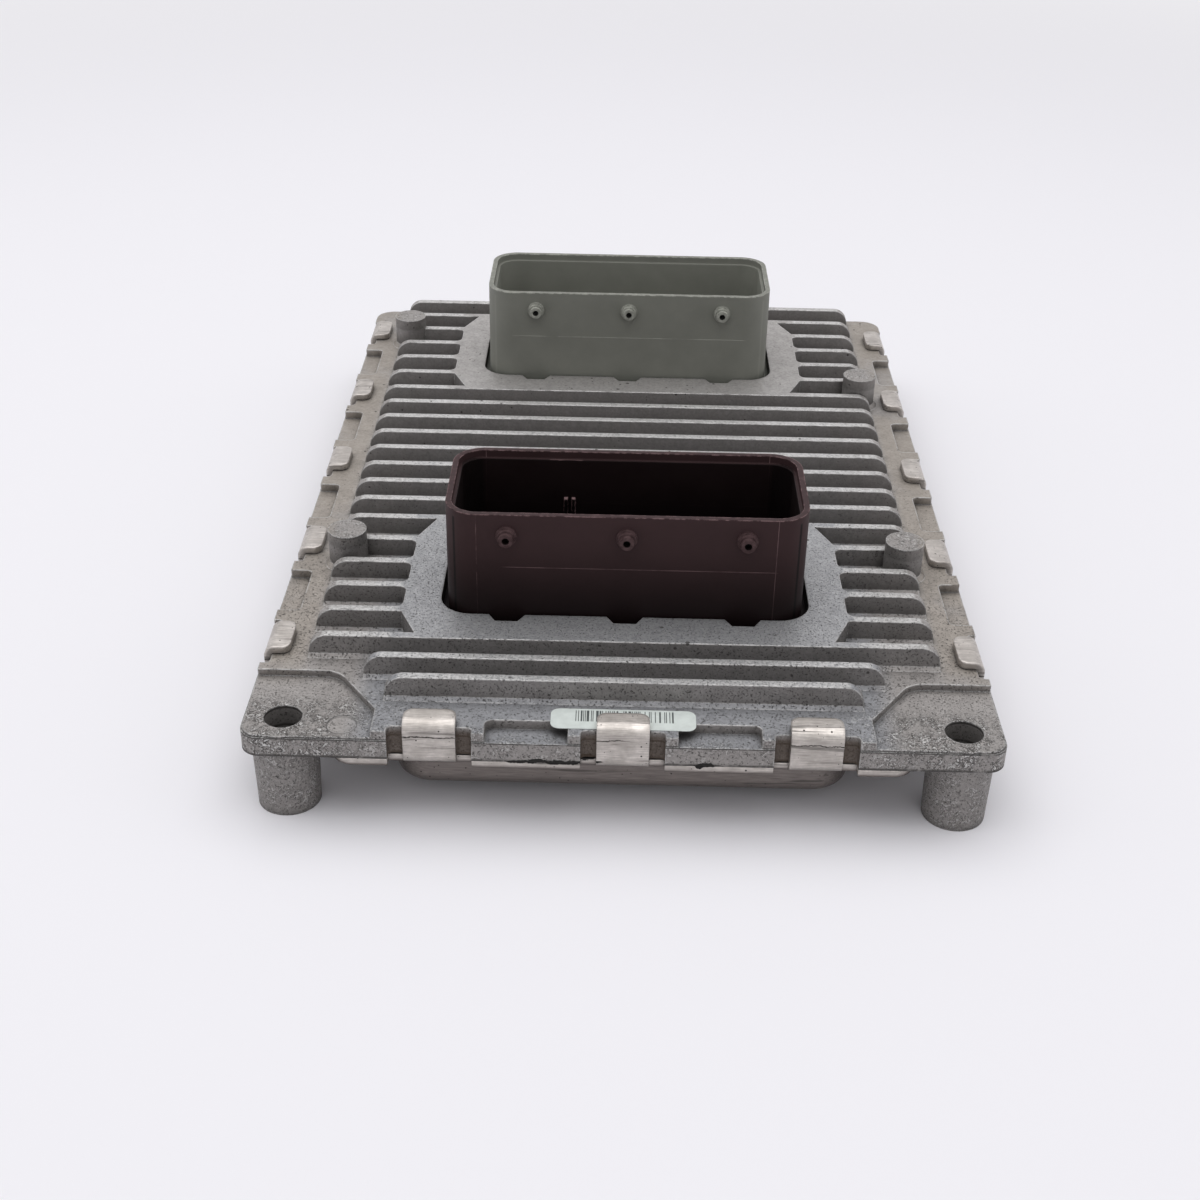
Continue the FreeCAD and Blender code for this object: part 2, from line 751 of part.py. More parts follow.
def window_side(y, side):
    """One long side of a window from left to right, with a scallop at each peg."""
    end = dim.shroud_width / 2 + dim.window_end_gap
    edge = y + (dim.shroud_depth / 2 + dim.window_side_gap) * side
    deep = y + (dim.shroud_depth / 2 + dim.peg_length + dim.peg_tip_length + dim.scallop_gap) * side
    wide = dim.scallop_width / 2
    narrow = wide - dim.scallop_taper
    corners = [(-end, edge, dim.shroud_radius)]
    for column in (-1.0, 0.0, 1.0):
        x = dim.peg_pitch * column
        corners += [(x - wide, edge), (x - narrow, deep), (x + narrow, deep), (x + wide, edge)]
    return corners + [(end, edge, dim.shroud_radius)]


def cut_tab_notches(body):
    """Notches in the flange for the crimp tabs and shallow pockets between them."""
    half = dim.notch_width / 2
    side = new_sketch(body, "side_notch_outlines", "XY_Plane", flange_z)
    for sign in (-1.0, 1.0):
        inner = (side_x - dim.notch_depth) * sign
        outer = (side_x + dim.notch_depth) * sign
        outline(side, turned([
            (inner, side_tab_y - half, dim.notch_radius), (outer, side_tab_y - half),
            (outer, side_tab_y + half), (inner, side_tab_y + half, dim.notch_radius)], sign))
    cut = pocket(body, side, dim.flange_thickness, "side_notches")
    repeat(body, [cut], "Y_Axis", SIDE_TABS, side_tab_pitch, "side_notch_row")
    front = new_sketch(body, "front_notch_outline", "XY_Plane", flange_z)
    start = -front_tab_pitch
    outline(front, [
        (start - half, front_y - dim.notch_depth), (start + half, front_y - dim.notch_depth),
        (start + half, front_y + dim.notch_depth, dim.notch_radius),
        (start - half, front_y + dim.notch_depth, dim.notch_radius)])
    cut = pocket(body, front, dim.flange_thickness, "front_notch")
    repeat(body, [cut], "X_Axis", FRONT_TABS, front_tab_pitch, "front_notch_row")


def cut_edge_pockets(body):
    """Shallow open pockets in the flange between neighbouring tabs."""
    half = side_tab_pitch / 2 - dim.notch_width / 2 - dim.pocket_end_gap - dim.pocket_radius
    middle = side_tab_y + side_tab_pitch / 2
    side = new_sketch(body, "side_pocket_outlines", "XY_Plane", flange_z)
    for sign in (-1.0, 1.0):
        inner = (side_x - dim.parting_step - dim.pocket_width) * sign
        outer = (side_x + dim.pocket_width) * sign
        outline(side, turned([
            (inner, middle - half, dim.pocket_radius), (outer, middle - half), (outer, middle + half),
            (inner, middle + half, dim.pocket_radius)], sign))
    cut = pocket(body, side, dim.pocket_depth, "side_pockets")
    repeat(body, [cut], "Y_Axis", SIDE_TABS - 1, side_tab_pitch, "side_pocket_row")
    front = new_sketch(body, "front_pocket_outlines", "XY_Plane", flange_z)
    wide = front_tab_pitch / 2 - dim.notch_width / 2 - dim.front_pocket_end_gap
    for sign in (-1.0, 1.0):
        x = front_tab_pitch / 2 * sign
        back = front_y + dim.parting_step + dim.pocket_width
        outline(front, [
            (x - wide, front_y - dim.pocket_width), (x + wide, front_y - dim.pocket_width),
            (x + wide, back, dim.pocket_radius), (x - wide, back, dim.pocket_radius)])
    pocket(body, front, dim.pocket_depth, "front_pockets")


def cut_fixing_holes(body):
    sketch = new_sketch(body, "fixing_holes", "XY_Plane", flange_z)
    for x, y in ((-hole_x, front_hole_y), (hole_x, front_hole_y), (MIDDLE, rear_hole_y)):
        circle(sketch, x, y, dim.hole_radius)
    pocket(body, sketch, flange_z, "fixing_hole_cut")


def make_housing():
    """The die-cast housing, which is also the heat sink."""
    body = new_body("heat_sink_housing")
    add_flange(body)
    add_rear_lug(body)
    add_feet(body)
    cut_lug_steps(body)
    cut_fixing_holes(body)
    add_fins(body)
    add_platforms(body)
    add_bosses(body)
    cut_tab_notches(body)
    cut_edge_pockets(body)
    cut_cavity(body)
    cut_header_pockets(body)
    add_posts(body)
    cut_windows(body)
    return body


def make_cover():
    """The sheet cover: a flange with relief notches, a deep pan and the tabs that hold the housing."""
    body = new_body("base_cover")
    sketch = new_sketch(body, "cover_outline", "XY_Plane", cover_bottom_z)
    rim_outline(sketch, dim.cover_inset)
    pad(body, sketch, dim.sheet, "cover_flange")
    pan = new_sketch(body, "pan_outline", "XY_Plane", cover_bottom_z)
    pan_outline(pan, dim.pan_inset)
    floor = pad(body, pan, dim.pan_depth, "pan", reverse=True)
    round_face(body, floor, cover_bottom_z - dim.pan_depth, dim.pan_edge_radius, "pan_edge")
    inside = new_sketch(body, "pan_inside_outline", "XY_Plane", cover_top_z)
    pan_outline(inside, dim.pan_inset + dim.sheet)
    pocket(body, inside, dim.pan_depth, "pan_inside")
    cut_reliefs(body)
    add_side_tabs(body)
    add_front_tabs(body)
    return body


def pan_outline(sketch, inset):
    deeper = inset - dim.pan_inset
    nose_x = side_x - dim.pan_nose_inset - deeper
    nosed_outline(sketch, inset, nose_x, dim.pan_radius - deeper, dim.pan_radius - deeper,
                  dim.cavity_radius + deeper)


def cut_reliefs(body):
    """Notches in the edge of the cover on both sides of each tab."""
    half = dim.notch_width / 2
    depth = dim.notch_depth - dim.notch_gap
    side = new_sketch(body, "side_relief_outlines", "XY_Plane", cover_top_z)
    for sign in (-1.0, 1.0):
        inner = (side_x - depth) * sign
        outer = (side_x + depth) * sign
        outline(side, turned([
            (inner, side_tab_y - half), (outer, side_tab_y - half), (outer, side_tab_y + half),
            (inner, side_tab_y + half)], sign))
    cut = pocket(body, side, dim.sheet, "side_reliefs")
    repeat(body, [cut], "Y_Axis", SIDE_TABS, side_tab_pitch, "side_relief_row")
    front = new_sketch(body, "front_relief_outline", "XY_Plane", cover_top_z)
    centred_box(front, -front_tab_pitch, front_y, dim.notch_width, depth * 2)
    cut = pocket(body, front, dim.sheet, "front_relief")
    repeat(body, [cut], "X_Axis", FRONT_TABS, front_tab_pitch, "front_relief_row")


def tab_section(sketch, edge, sign):
    """The bent strip of a tab, seen along the edge that it wraps; edge is the edge of the housing."""
    inside = edge - (dim.notch_depth - dim.notch_gap) * sign
    outside = inside + dim.sheet * sign
    root = inside - dim.sheet * sign
    under = flange_z + dim.tab_gap
    top = under + dim.sheet
    end = outside - (dim.tab_reach - dim.tab_corner_radius) * sign
    outline(sketch, turned([
        (root, cover_bottom_z), (outside, cover_bottom_z, dim.tab_bend_radius),
        (outside, top, dim.tab_bend_radius), (end, top), (end, under), (inside, under, dim.tab_inner_radius),
        (inside, cover_top_z), (root, cover_top_z)], sign))


def tab_ends(edge, sign):
    """Where the free end of a tab starts and stops, seen along the edge."""
    outside = edge - (dim.notch_depth - dim.notch_gap - dim.sheet) * sign
    return outside - dim.tab_bend_radius * sign, outside - dim.tab_reach * sign


def add_side_tabs(body):
    section = new_sketch(body, "side_tab_sections", "XZ_Plane", side_tab_y)
    tips = new_sketch(body, "side_tab_tips", "XY_Plane", flange_z + dim.tab_gap)
    half = dim.tab_width / 2
    for sign in (-1.0, 1.0):
        tab_section(section, side_x * sign, sign)
        start, stop = tab_ends(side_x * sign, sign)
        outline(tips, turned([
            (start, side_tab_y - half), (start, side_tab_y + half),
            (stop, side_tab_y + half, dim.tab_corner_radius),
            (stop, side_tab_y - half, dim.tab_corner_radius)], sign))
    strip = pad(body, section, dim.tab_width, "side_tabs", symmetric=True)
    tip = pad(body, tips, dim.sheet, "side_tab_ends")
    repeat(body, [strip, tip], "Y_Axis", SIDE_TABS, side_tab_pitch, "side_tab_row")


def add_front_tabs(body):
    """Three tabs along the front edge."""
    half = dim.tab_width / 2
    section = new_sketch(body, "front_tab_section", "YZ_Plane", -front_tab_pitch)
    tab_section(section, front_y, -1.0)
    strip = pad(body, section, dim.tab_width, "front_tab", symmetric=True)
    tips = new_sketch(body, "front_tab_tip", "XY_Plane", flange_z + dim.tab_gap)
    start, stop = tab_ends(front_y, -1.0)
    left = -front_tab_pitch - half
    right = -front_tab_pitch + half
    outline(tips, [(left, start), (right, start), (right, stop, dim.tab_corner_radius),
                   (left, stop, dim.tab_corner_radius)])
    tip = pad(body, tips, dim.sheet, "front_tab_end")
    repeat(body, [strip, tip], "X_Axis", FRONT_TABS, front_tab_pitch, "front_tab_row")


def make_perimeter_seal():
    """The cured bead between the housing and the cover."""
    body = new_body("perimeter_seal")
    sketch = new_sketch(body, "bead_outlines", "XY_Plane", cover_top_z)
    rim_outline(sketch, dim.groove_inset + dim.seal_side_gap)
    rim_outline(sketch, dim.groove_inset + dim.groove_width - dim.seal_side_gap)
    pad(body, sketch, dim.seal_gap + dim.groove_depth, "bead")
    return body


def make_header(name, y, keys):
    """A plug header: an open shroud with pegs, a flange under the platform and a block down to the board."""
    body = new_body(name)
    half_depth = dim.shroud_depth / 2
    outer = new_sketch(body, "shroud_outline", "XY_Plane", header_flange_z - dim.header_flange_thickness)
    centred_box(outer, MIDDLE, y, dim.shroud_width, dim.shroud_depth, dim.shroud_radius)
    pad(body, outer, shroud_z - header_flange_z + dim.header_flange_thickness, "shroud")
    flange = new_sketch(body, "flange_outline", "XY_Plane", header_flange_z)
    margin = dim.header_flange_margin * 2
    centred_box(flange, MIDDLE, y, dim.shroud_width + margin, dim.shroud_depth + margin, dim.shroud_radius)
    pad(body, flange, dim.header_flange_thickness, "header_flange", reverse=True)
    base = new_sketch(body, "base_outline", "XY_Plane", board_top_z)
    shrink = dim.base_inset * 2
    centred_box(base, MIDDLE, y, dim.shroud_width - shrink, dim.shroud_depth - shrink, dim.shroud_radius)
    pad(body, base, header_flange_z - board_top_z - dim.header_flange_thickness, "header_base")
    cuts = (
        (dim.shroud_wall, shroud_z - shroud_floor_z, "mouth"), (dim.shroud_lip, dim.shroud_lip_depth, "lip"))
    for wall, depth, part in cuts:
        opening = new_sketch(body, f"{part}_outline", "XY_Plane", shroud_z)
        width = dim.shroud_width - wall * 2
        centred_box(opening, MIDDLE, y, width, dim.shroud_depth - wall * 2, dim.shroud_radius - wall)
        pocket(body, opening, depth, part)
    ribs = new_sketch(body, "key_outlines", "XY_Plane", shroud_floor_z - dim.parting_step)
    inside = y + half_depth - dim.shroud_wall
    for x in keys:
        left = x - dim.key_width / 2
        box(ribs, left, left + dim.key_width, inside - dim.key_depth, inside + dim.shroud_wall / 2)
    pad(body, ribs, shroud_z - shroud_floor_z - dim.key_drop, "keys")
    add_pegs(body, y - half_depth, 1.0)
    add_pegs(body, y + half_depth, -1.0)
    cut_pin_holes(body, y, shroud_floor_z, shroud_floor_z - board_top_z)
    return body


def add_pegs(body, face_y, side):
    """Three hollow pegs on a long face of the shroud, each in three steps."""
    height = shroud_z - dim.peg_drop
    back = side < 0
    tag = "rear" if back else "front"
    steps = (
        (dim.peg_root_radius, dim.peg_root_length, "peg_root"), (dim.peg_radius, dim.peg_length, "peg"),
        (dim.peg_tip_radius, dim.peg_length + dim.peg_tip_length, "peg_tip"))
    for radius, length, part in steps:
        sketch = new_sketch(body, f"{tag}_{part}_circles", "XZ_Plane", face_y)
        for column in (-1.0, 0.0, 1.0):
            circle(sketch, dim.peg_pitch * column, height, radius)
        pad(body, sketch, length, f"{tag}_{part}", reverse=back)
    end_y = face_y - (dim.peg_length + dim.peg_tip_length) * side
    sketch = new_sketch(body, f"{tag}_peg_holes", "XZ_Plane", end_y)
    for column in (-1.0, 0.0, 1.0):
        circle(sketch, dim.peg_pitch * column, height, dim.peg_hole_radius)
    pocket(body, sketch, dim.peg_hole_depth, f"{tag}_peg_hole_cut", reverse=back)


def signal_start(y):
    """The left front contact of a header's signal field."""
    return -dim.signal_first_x, y - dim.signal_pitch_y * (SIGNAL_ROWS - 1) / 2


def blade_start(y):
    return dim.blade_first_x, y - dim.blade_pitch_y * (BLADE_ROWS - 1) / 2


def cut_pin_holes(body, y, height, depth):
    """Square and flat holes for the contacts of the header at y."""
    x, row = signal_start(y)
    sketch = new_sketch(body, "signal_hole", "XY_Plane", height)
    size = dim.signal_pin + dim.pin_gap * 2
    centred_box(sketch, x, row, size, size)
    cut = pocket(body, sketch, depth, "signal_hole_cut")
    grid(body, [cut], SIGNAL_COLUMNS, SIGNAL_ROWS, dim.signal_pitch_x, dim.signal_pitch_y, "signal_holes")
    x, row = blade_start(y)
    sketch = new_sketch(body, "blade_hole", "XY_Plane", height)
    centred_box(sketch, x, row, dim.blade_width + dim.pin_gap * 2, size)
    cut = pocket(body, sketch, depth, "blade_hole_cut")
    grid(body, [cut], BLADE_COLUMNS, BLADE_ROWS, dim.blade_pitch_x, dim.blade_pitch_y, "blade_holes")


def make_signal_pins(name, y):
    body = new_body(name, several=True)
    x, row = signal_start(y)
    sketch = new_sketch(body, "signal_pin_outline", "XY_Plane", board_bottom_z - dim.pin_tail)
    centred_box(sketch, x, row, dim.signal_pin, dim.signal_pin)
    pin = pad(body, sketch, pin_length(), "signal_pin")
    grid(body, [pin], SIGNAL_COLUMNS, SIGNAL_ROWS, dim.signal_pitch_x, dim.signal_pitch_y, "signal_pins")
    return body


def make_blades(name, y):
    body = new_body(name, several=True)
    x, row = blade_start(y)
    sketch = new_sketch(body, "blade_outline", "XY_Plane", board_bottom_z - dim.pin_tail)
    centred_box(sketch, x, row, dim.blade_width, dim.signal_pin)
    blade = pad(body, sketch, pin_length(), "blade")
    grid(body, [blade], BLADE_COLUMNS, BLADE_ROWS, dim.blade_pitch_x, dim.blade_pitch_y, "blades")
    return body


def pin_length():
    return shroud_floor_z + dim.pin_height - board_bottom_z + dim.pin_tail


def make_header_seal(name, y):
    """The flat gasket between a header's flange and the underside of its platform."""
    body = new_body(name)
    sketch = new_sketch(body, "gasket_outlines", "XY_Plane", header_flange_z)
    for margin in (dim.header_flange_margin - dim.header_seal_inset,
                   dim.header_flange_margin - dim.header_seal_inset - dim.header_seal_width):
        width = dim.shroud_width + margin * 2
        centred_box(sketch, MIDDLE, y, width, dim.shroud_depth + margin * 2, dim.shroud_radius)
    pad(body, sketch, dim.header_seal_thickness, "gasket")
    return body


def make_board():
    """The circuit board with its holes for contacts and screws."""
    body = new_body("circuit_board")
    sketch = new_sketch(body, "board_outline", "XY_Plane", board_bottom_z)
    inset = dim.pan_inset + dim.sheet + dim.board_gap
    nose_x = side_x - dim.pan_nose_inset - dim.sheet - dim.board_gap
    nosed_outline(sketch, inset, nose_x, dim.board_radius, dim.board_radius, dim.board_radius)
    pad(body, sketch, dim.board_thickness, "board")
    holes = new_sketch(body, "board_screw_holes", "XY_Plane", board_top_z)
    for x, y in post_spots():
        circle(holes, x, y, dim.screw_radius + dim.screw_gap)
    pocket(body, holes, dim.board_thickness, "board_screw_hole_cut")
    cut_pin_holes(body, front_header_y, board_top_z, dim.board_thickness)
    cut_pin_holes(body, rear_header_y, board_top_z, dim.board_thickness)
    return body


def make_board_screws():
    """Pan-head screws driven up through the board into the posts."""
    body = new_body("board_screws", several=True)
    heads = new_sketch(body, "head_circles", "XY_Plane", board_bottom_z)
    shanks = new_sketch(body, "shank_circles", "XY_Plane", board_bottom_z)
    for x, y in post_spots():
        circle(heads, x, y, dim.screw_head_radius)
        circle(shanks, x, y, dim.screw_radius - dim.pin_gap)
    pad(body, heads, dim.screw_head_height, "heads", reverse=True)
    pad(body, shanks, dim.board_thickness + dim.screw_depth - dim.screw_gap, "shanks")
    return body


def make_blocks(name, spots, width, depth, height, below=False, radius=None):
    """Box-shaped parts on one side of the board, one solid at each spot."""
    body = new_body(name, several=len(spots) > 1)
    base = board_bottom_z if below else board_top_z
    sketch = new_sketch(body, f"{name}_outlines", "XY_Plane", base)
    for x, y in spots:
        centred_box(sketch, x, y, width, depth, radius)
    pad(body, sketch, height, f"{name}_blocks", reverse=below)
    return body


def row_of(count, pitch, x, y):
    """Spots in a row along X, centred on x."""
    return [(x + pitch * (index - (count - 1) / 2), y) for index in range(count)]


def driver_spots():
    return row_of(DRIVERS, dim.driver_pitch, MIDDLE, middle_y - dim.driver_y)


def make_thermal_pads():
    """Soft pads that carry heat from the hot chips up to the ceiling of the housing."""
    body = new_body("thermal_pads", several=True)
    stacks = [
        ("processor", [(MIDDLE, middle_y)], dim.processor_width, dim.processor_width, dim.processor_height),
        ("manager", [(-dim.manager_x, middle_y)], dim.manager_width, dim.manager_width, dim.manager_height),
        ("driver", driver_spots(), dim.driver_width, dim.driver_width, dim.driver_height)]
    for name, spots, width, depth, height in stacks:
        sketch = new_sketch(body, f"{name}_pad_outlines", "XY_Plane", board_top_z + height)
        for x, y in spots:
            centred_box(sketch, x, y, width, depth)
        pad(body, sketch, dim.board_drop - height, f"{name}_pads")
    return body


def make_capacitors():
    """Two round capacitors standing under the board."""
    body = new_body("bulk_capacitors", several=True)
    sketch = new_sketch(body, "capacitor_circles", "XY_Plane", board_bottom_z)
    for x, y in row_of(2, dim.capacitor_pitch, -dim.capacitor_x, middle_y):
        circle(sketch, x, y, dim.capacitor_radius)
    pad(body, sketch, dim.capacitor_height, "capacitor_cans", reverse=True)
    return body


def make_label():
    """The narrow paper-film strip that the middle front tab lies over."""
    body = new_body("barcode_label")
    sketch = new_sketch(body, "label_outline", "XY_Plane", flange_z)
    y = front_y + dim.label_inset + dim.label_width / 2
    centred_box(sketch, MIDDLE, y, dim.label_length, dim.label_width, dim.label_radius)
    pad(body, sketch, dim.label_thickness, "label")
    return body


def make_parts():
    """Every piece of the unit, from the housing in to the board."""
    transistors = row_of(TRANSISTORS, dim.transistor_pitch, MIDDLE, middle_y + dim.transistor_y)
    chips = row_of(CHIPS, dim.chip_pitch, MIDDLE, middle_y + dim.chip_y)
    crystal = [(dim.crystal_offset, middle_y)]
    front_keys = (-dim.front_key_x, dim.front_key_gap - dim.front_key_x)
    rear_keys = (-dim.rear_key_left_x, dim.rear_key_right_x, dim.rear_key_right_x + dim.rear_key_gap)
    return [
        make_housing(),
        make_cover(),
        make_perimeter_seal(),
        make_header("front_header_shell", front_header_y, front_keys),
        make_header("rear_header_shell", rear_header_y, rear_keys),
        make_signal_pins("front_signal_pins", front_header_y),
        make_blades("front_power_blades", front_header_y),
        make_signal_pins("rear_signal_pins", rear_header_y),
        make_blades("rear_power_blades", rear_header_y),
        make_header_seal("front_header_seal", front_header_y),
        make_header_seal("rear_header_seal", rear_header_y),
        make_board(),
        make_board_screws(),
        make_blocks("microcontroller", [(MIDDLE, middle_y)], dim.processor_width, dim.processor_width,
                    dim.processor_height),
        make_blocks("power_manager", [(-dim.manager_x, middle_y)], dim.manager_width, dim.manager_width,
                    dim.manager_height),
        make_blocks("injector_drivers", driver_spots(), dim.driver_width, dim.driver_width,
                    dim.driver_height),
        make_blocks("ignition_transistors", transistors, dim.transistor_width, dim.transistor_length,
                    dim.transistor_height),
        make_blocks("quartz_crystal", crystal, dim.crystal_width, dim.crystal_length, dim.crystal_height),
        make_blocks("pressure_sensor", [(dim.sensor_x, middle_y)], dim.sensor_width, dim.sensor_width,
                    dim.sensor_height),
        make_thermal_pads(),
        make_capacitors(),
        make_blocks("power_inductor", [(dim.inductor_x, middle_y)], dim.inductor_width, dim.inductor_width,
                    dim.inductor_height, below=True, radius=dim.inductor_radius),
        make_blocks("voltage_regulator", [(dim.regulator_x, middle_y)], dim.regulator_width,
                    dim.regulator_width, dim.regulator_height, below=True),
        make_blocks("ceramic_capacitors", chips, dim.chip_width, dim.chip_length, dim.chip_height,
                    below=True),
        make_label(),
    ]


def check(parts):
    """Stop if any feature failed or any piece isn't a sound solid."""
    failed = [thing.Name for thing in doc.Objects if "Invalid" in thing.State or "Error" in thing.State]
    if failed:
        raise RuntimeError(f"features that failed: {failed}")
    for part in parts:
        if part.Shape.isNull() or not part.Shape.isValid() or not part.Shape.Solids:
            raise RuntimeError(f"piece without a sound shape: {part.Label}")


def main():
    parts = make_parts()
    doc.recompute()
    check(parts)
    os.makedirs("parts", exist_ok=True)
    for part in parts:
        part.Shape.exportStep(f"parts/{part.Label}.step")
        print(part.Label, len(part.Shape.Solids), round(part.Shape.Volume, 1))


main()
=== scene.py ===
import math

import bmesh
import bpy
from mathutils import Matrix, Vector

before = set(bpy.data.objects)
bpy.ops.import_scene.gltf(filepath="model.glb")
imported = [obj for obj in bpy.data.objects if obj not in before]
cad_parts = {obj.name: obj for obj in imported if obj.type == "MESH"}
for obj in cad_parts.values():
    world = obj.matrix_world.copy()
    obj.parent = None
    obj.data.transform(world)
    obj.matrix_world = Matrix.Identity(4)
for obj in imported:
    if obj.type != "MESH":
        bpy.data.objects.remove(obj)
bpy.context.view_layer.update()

bl_info = {
    "name": "Engine Control Unit Dressing",
    "version": (1, 0, 0),
    "blender": (4, 5, 0),
    "location": "View3D > Sidebar > Control Unit",
    "description": "Finishes and a studio for a finned engine control unit",
    "category": "Object",
}

MM = 0.001

# Heights above the floor
COVER_RIM = 11.8 * MM
JOINT = 13.4 * MM
PARTING = 17.2 * MM
LUG_TOP = 17.65 * MM
FLANGE_TOP = 19.05 * MM
FIN_TOP = 23.45 * MM
BOSS_TOP = 26.55 * MM
MOULD_LINE = 33.4 * MM
PEG_HEIGHT = 40.1 * MM
HEADER_RIM = 44.3 * MM

# Places from front to rear
FRONT_FACE = -103.7 * MM
FRONT_LUGS = -90.0 * MM
FRONT_HEADER = -56.775 * MM
REAR_HEADER = 53.95 * MM
REAR_FACE = 89.3 * MM

# Places from the middle to a side, and from the middle of a header to its front and rear
KEY_PLACE = -12.0 * MM
PEG_PITCH = 22.1 * MM
HEADER_CORNER = 27.65 * MM
HEADER_INNER_SIDE = 31.95 * MM
TAB_PITCH = 33.75 * MM
HEADER_INNER_DEPTH = 12.1 * MM
HEADER_OUTER_DEPTH = 13.8 * MM

# The field of bars on the label, from its middle and from front to rear
PRINT_MIDDLE = 0.4 * MM
PRINT_REACH = 8.9 * MM
PRINT_FRONT = -99.2 * MM
PRINT_REAR = -95.7 * MM

# Round marks and holes
CORNER_HOLE = (60.0 * MM, -97.6 * MM, 0.0)
HOLE_RADIUS = 3.42 * MM
EJECTOR_MARK = (-49.35 * MM, -99.8 * MM, LUG_TOP)
MARK_RADIUS = 2.65 * MM
BORE_RADIUS = 0.65 * MM
BORE_COLOUR = "#060505"

# The range in which most of a noise texture lies
NOISE_SPAN = {"From Min": 0.3, "From Max": 0.7}

# How the two header plastics differ: the strength of their lines and of what is rubbed pale and carries a
# painted highlight, the painted shade or light inside the socket, and how bright the foot is beside the rest
BROWN_LOOK = {"roughness": 0.5, "shine": 0.12, "upright lines": 1.0, "highlit rubbed keys": 1.0, "inside": 0.1,
              "foot": 0.2, "paleness": 0.24}
GREY_LOOK = {"roughness": 0.55, "shine": 0.4, "upright lines": 0.0, "highlit rubbed keys": 0.0, "inside": 1.15,
             "foot": 1.0, "paleness": 0.65}

BACKDROP = "#FDFCFF"
BACKDROP_LEVEL = 0.9
FLOOR_RADIUS = 4.0
FLOOR_FADE = (0.35, 0.85)
SENSOR_WIDTH = 36.0
LENS_SHIFT = (0.0004, -0.0048)


def linear(code):
    """Turns a six-digit sRGB hex colour into linear red, green, blue and alpha."""
    parts = [int(code[at:at + 2], 16) / 255 for at in (1, 3, 5)]
    return (*(p / 12.92 if p <= 0.04045 else ((p + 0.055) / 1.055) ** 2.4 for p in parts), 1.0)


def colour(name, description, code):
    """A colour that the user can change."""
    return bpy.props.FloatVectorProperty(
        name=name, description=description, default=linear(code), size=4, min=0.0, max=1.0, subtype="COLOR")


def length(name, description, millimetres):
    """A length that the user can change."""
    return bpy.props.FloatProperty(
        name=name, description=description, default=millimetres * MM, min=0.0, precision=5, unit="LENGTH")


class ControlUnitColours(bpy.types.PropertyGroup):
    """Colours of the finishes."""

    cast_grey: colour("Casting", "As-cast aluminium away from handled places", "#9A9693")
    cast_cool: colour("Cool casting", "Aluminium with the blue cast of the platforms", "#929396")
    cast_warm: colour("Warm casting", "Aluminium with the tan film of the side flanges", "#9A938B")
    # Worn casting is partly rubbed metal and partly a painted highlight on edges and fin tops
    cast_wear_and_highlight: colour("Worn casting", "Edges and fin tops rubbed bright", "#C6C5C3")
    # Fin faces: painted shade on the upright faces of the fins, which look away from the light
    painted_fin_face_shade: colour("Fin faces", "Dull oxide on the faces of the fins", "#868381")
    # Grime is partly dirt and partly painted shade in corners, gaps and between fins
    grime: colour("Grime", "Dark dirt in corners and pits", "#2B2724")
    # Brown stain is partly stain and partly painted shade on the notch walls behind the tabs
    notch_stain_and_shade: colour("Brown stain", "Dried liquid and dirt beside the tabs", "#54463A")
    sheet_silver: colour("Cover", "Rolled aluminium sheet", "#B0AAA4")
    # Dull cover is painted shade on the pan below the rim and under the flange
    sheet_shade_under_rim: colour("Dull cover", "Sheet of the pan, dulled by grime", "#7C7571")
    # Rubbed cover is partly polish and partly a painted highlight along the edges
    sheet_polish_and_highlight: colour("Rubbed cover", "Sheet polished along its bends", "#D0CAC4")
    brown_body: colour("Brown plastic", "Plastic of the front header", "#3B2B2C")
    # The rubbed plastic colours are partly wear and partly a painted highlight on rims, pegs, edges and key
    # tops
    brown_pale_and_highlight: colour("Rubbed brown plastic", "Rim and mould lines of the front header", "#8E7475")
    grey_body: colour("Grey plastic", "Plastic of the rear header", "#7B7C74")
    grey_pale_and_highlight: colour("Rubbed grey plastic", "Rim and mould lines of the rear header", "#BBBCB2")
    label_film: colour("Label", "Pale film of the label", "#D3DAD6")
    label_bars: colour("Label bars", "Printed bars of the label", "#4C5151")
    sealant: colour("Sealant", "Black silicone between casting and cover", "#14120F")
    rubber: colour("Gasket", "Rubber under the header flanges", "#1B1B1D")
    tin: colour("Tin", "Plating of the contacts and cans", "#B9B6AE")
    steel: colour("Screws", "Zinc-plated screws", "#A9ADB0")
    laminate: colour("Circuit board", "Solder resist over the laminate", "#1F4A33")
    copper: colour("Traces", "Solder resist where copper lies under it", "#2C6647")
    resin: colour("Chip resin", "Moulding compound of the chips", "#1D1D20")
    pad_blue: colour("Thermal pads", "Filled silicone that carries heat", "#8FA0B4")
    ferrite: colour("Ferrite", "Core of the inductor", "#2D2C2E")
    ceramic: colour("Ceramic", "Body of the ceramic capacitors", "#8A6A4C")
    floor: colour("Floor", "Paper that the unit stands on", "#F2F1F5")


class ControlUnitSizes(bpy.types.PropertyGroup):
    """Sizes of the patterns."""

    grain: length("Casting grain", "Width of one bump of the cast skin", 0.55)
    flow: length("Flow marks", "Width of the worm-like marks of the cast skin", 1.0)
    pit: length("Pit spacing", "Distance between pits of the casting", 2.3)
    cloud: length("Stain width", "Width of the soft stains of the casting", 22.0)
    worn_edge: length("Worn edge", "Width of the rubbed band along edges", 0.45)
    brush: length("Rolling marks", "Distance between rolling marks of the sheet", 0.22)
    mould_line: length("Mould line", "Width of the lines that the mould leaves", 0.16)
    bar: length("Label bar", "Width of the narrowest bar of the label", 0.15)


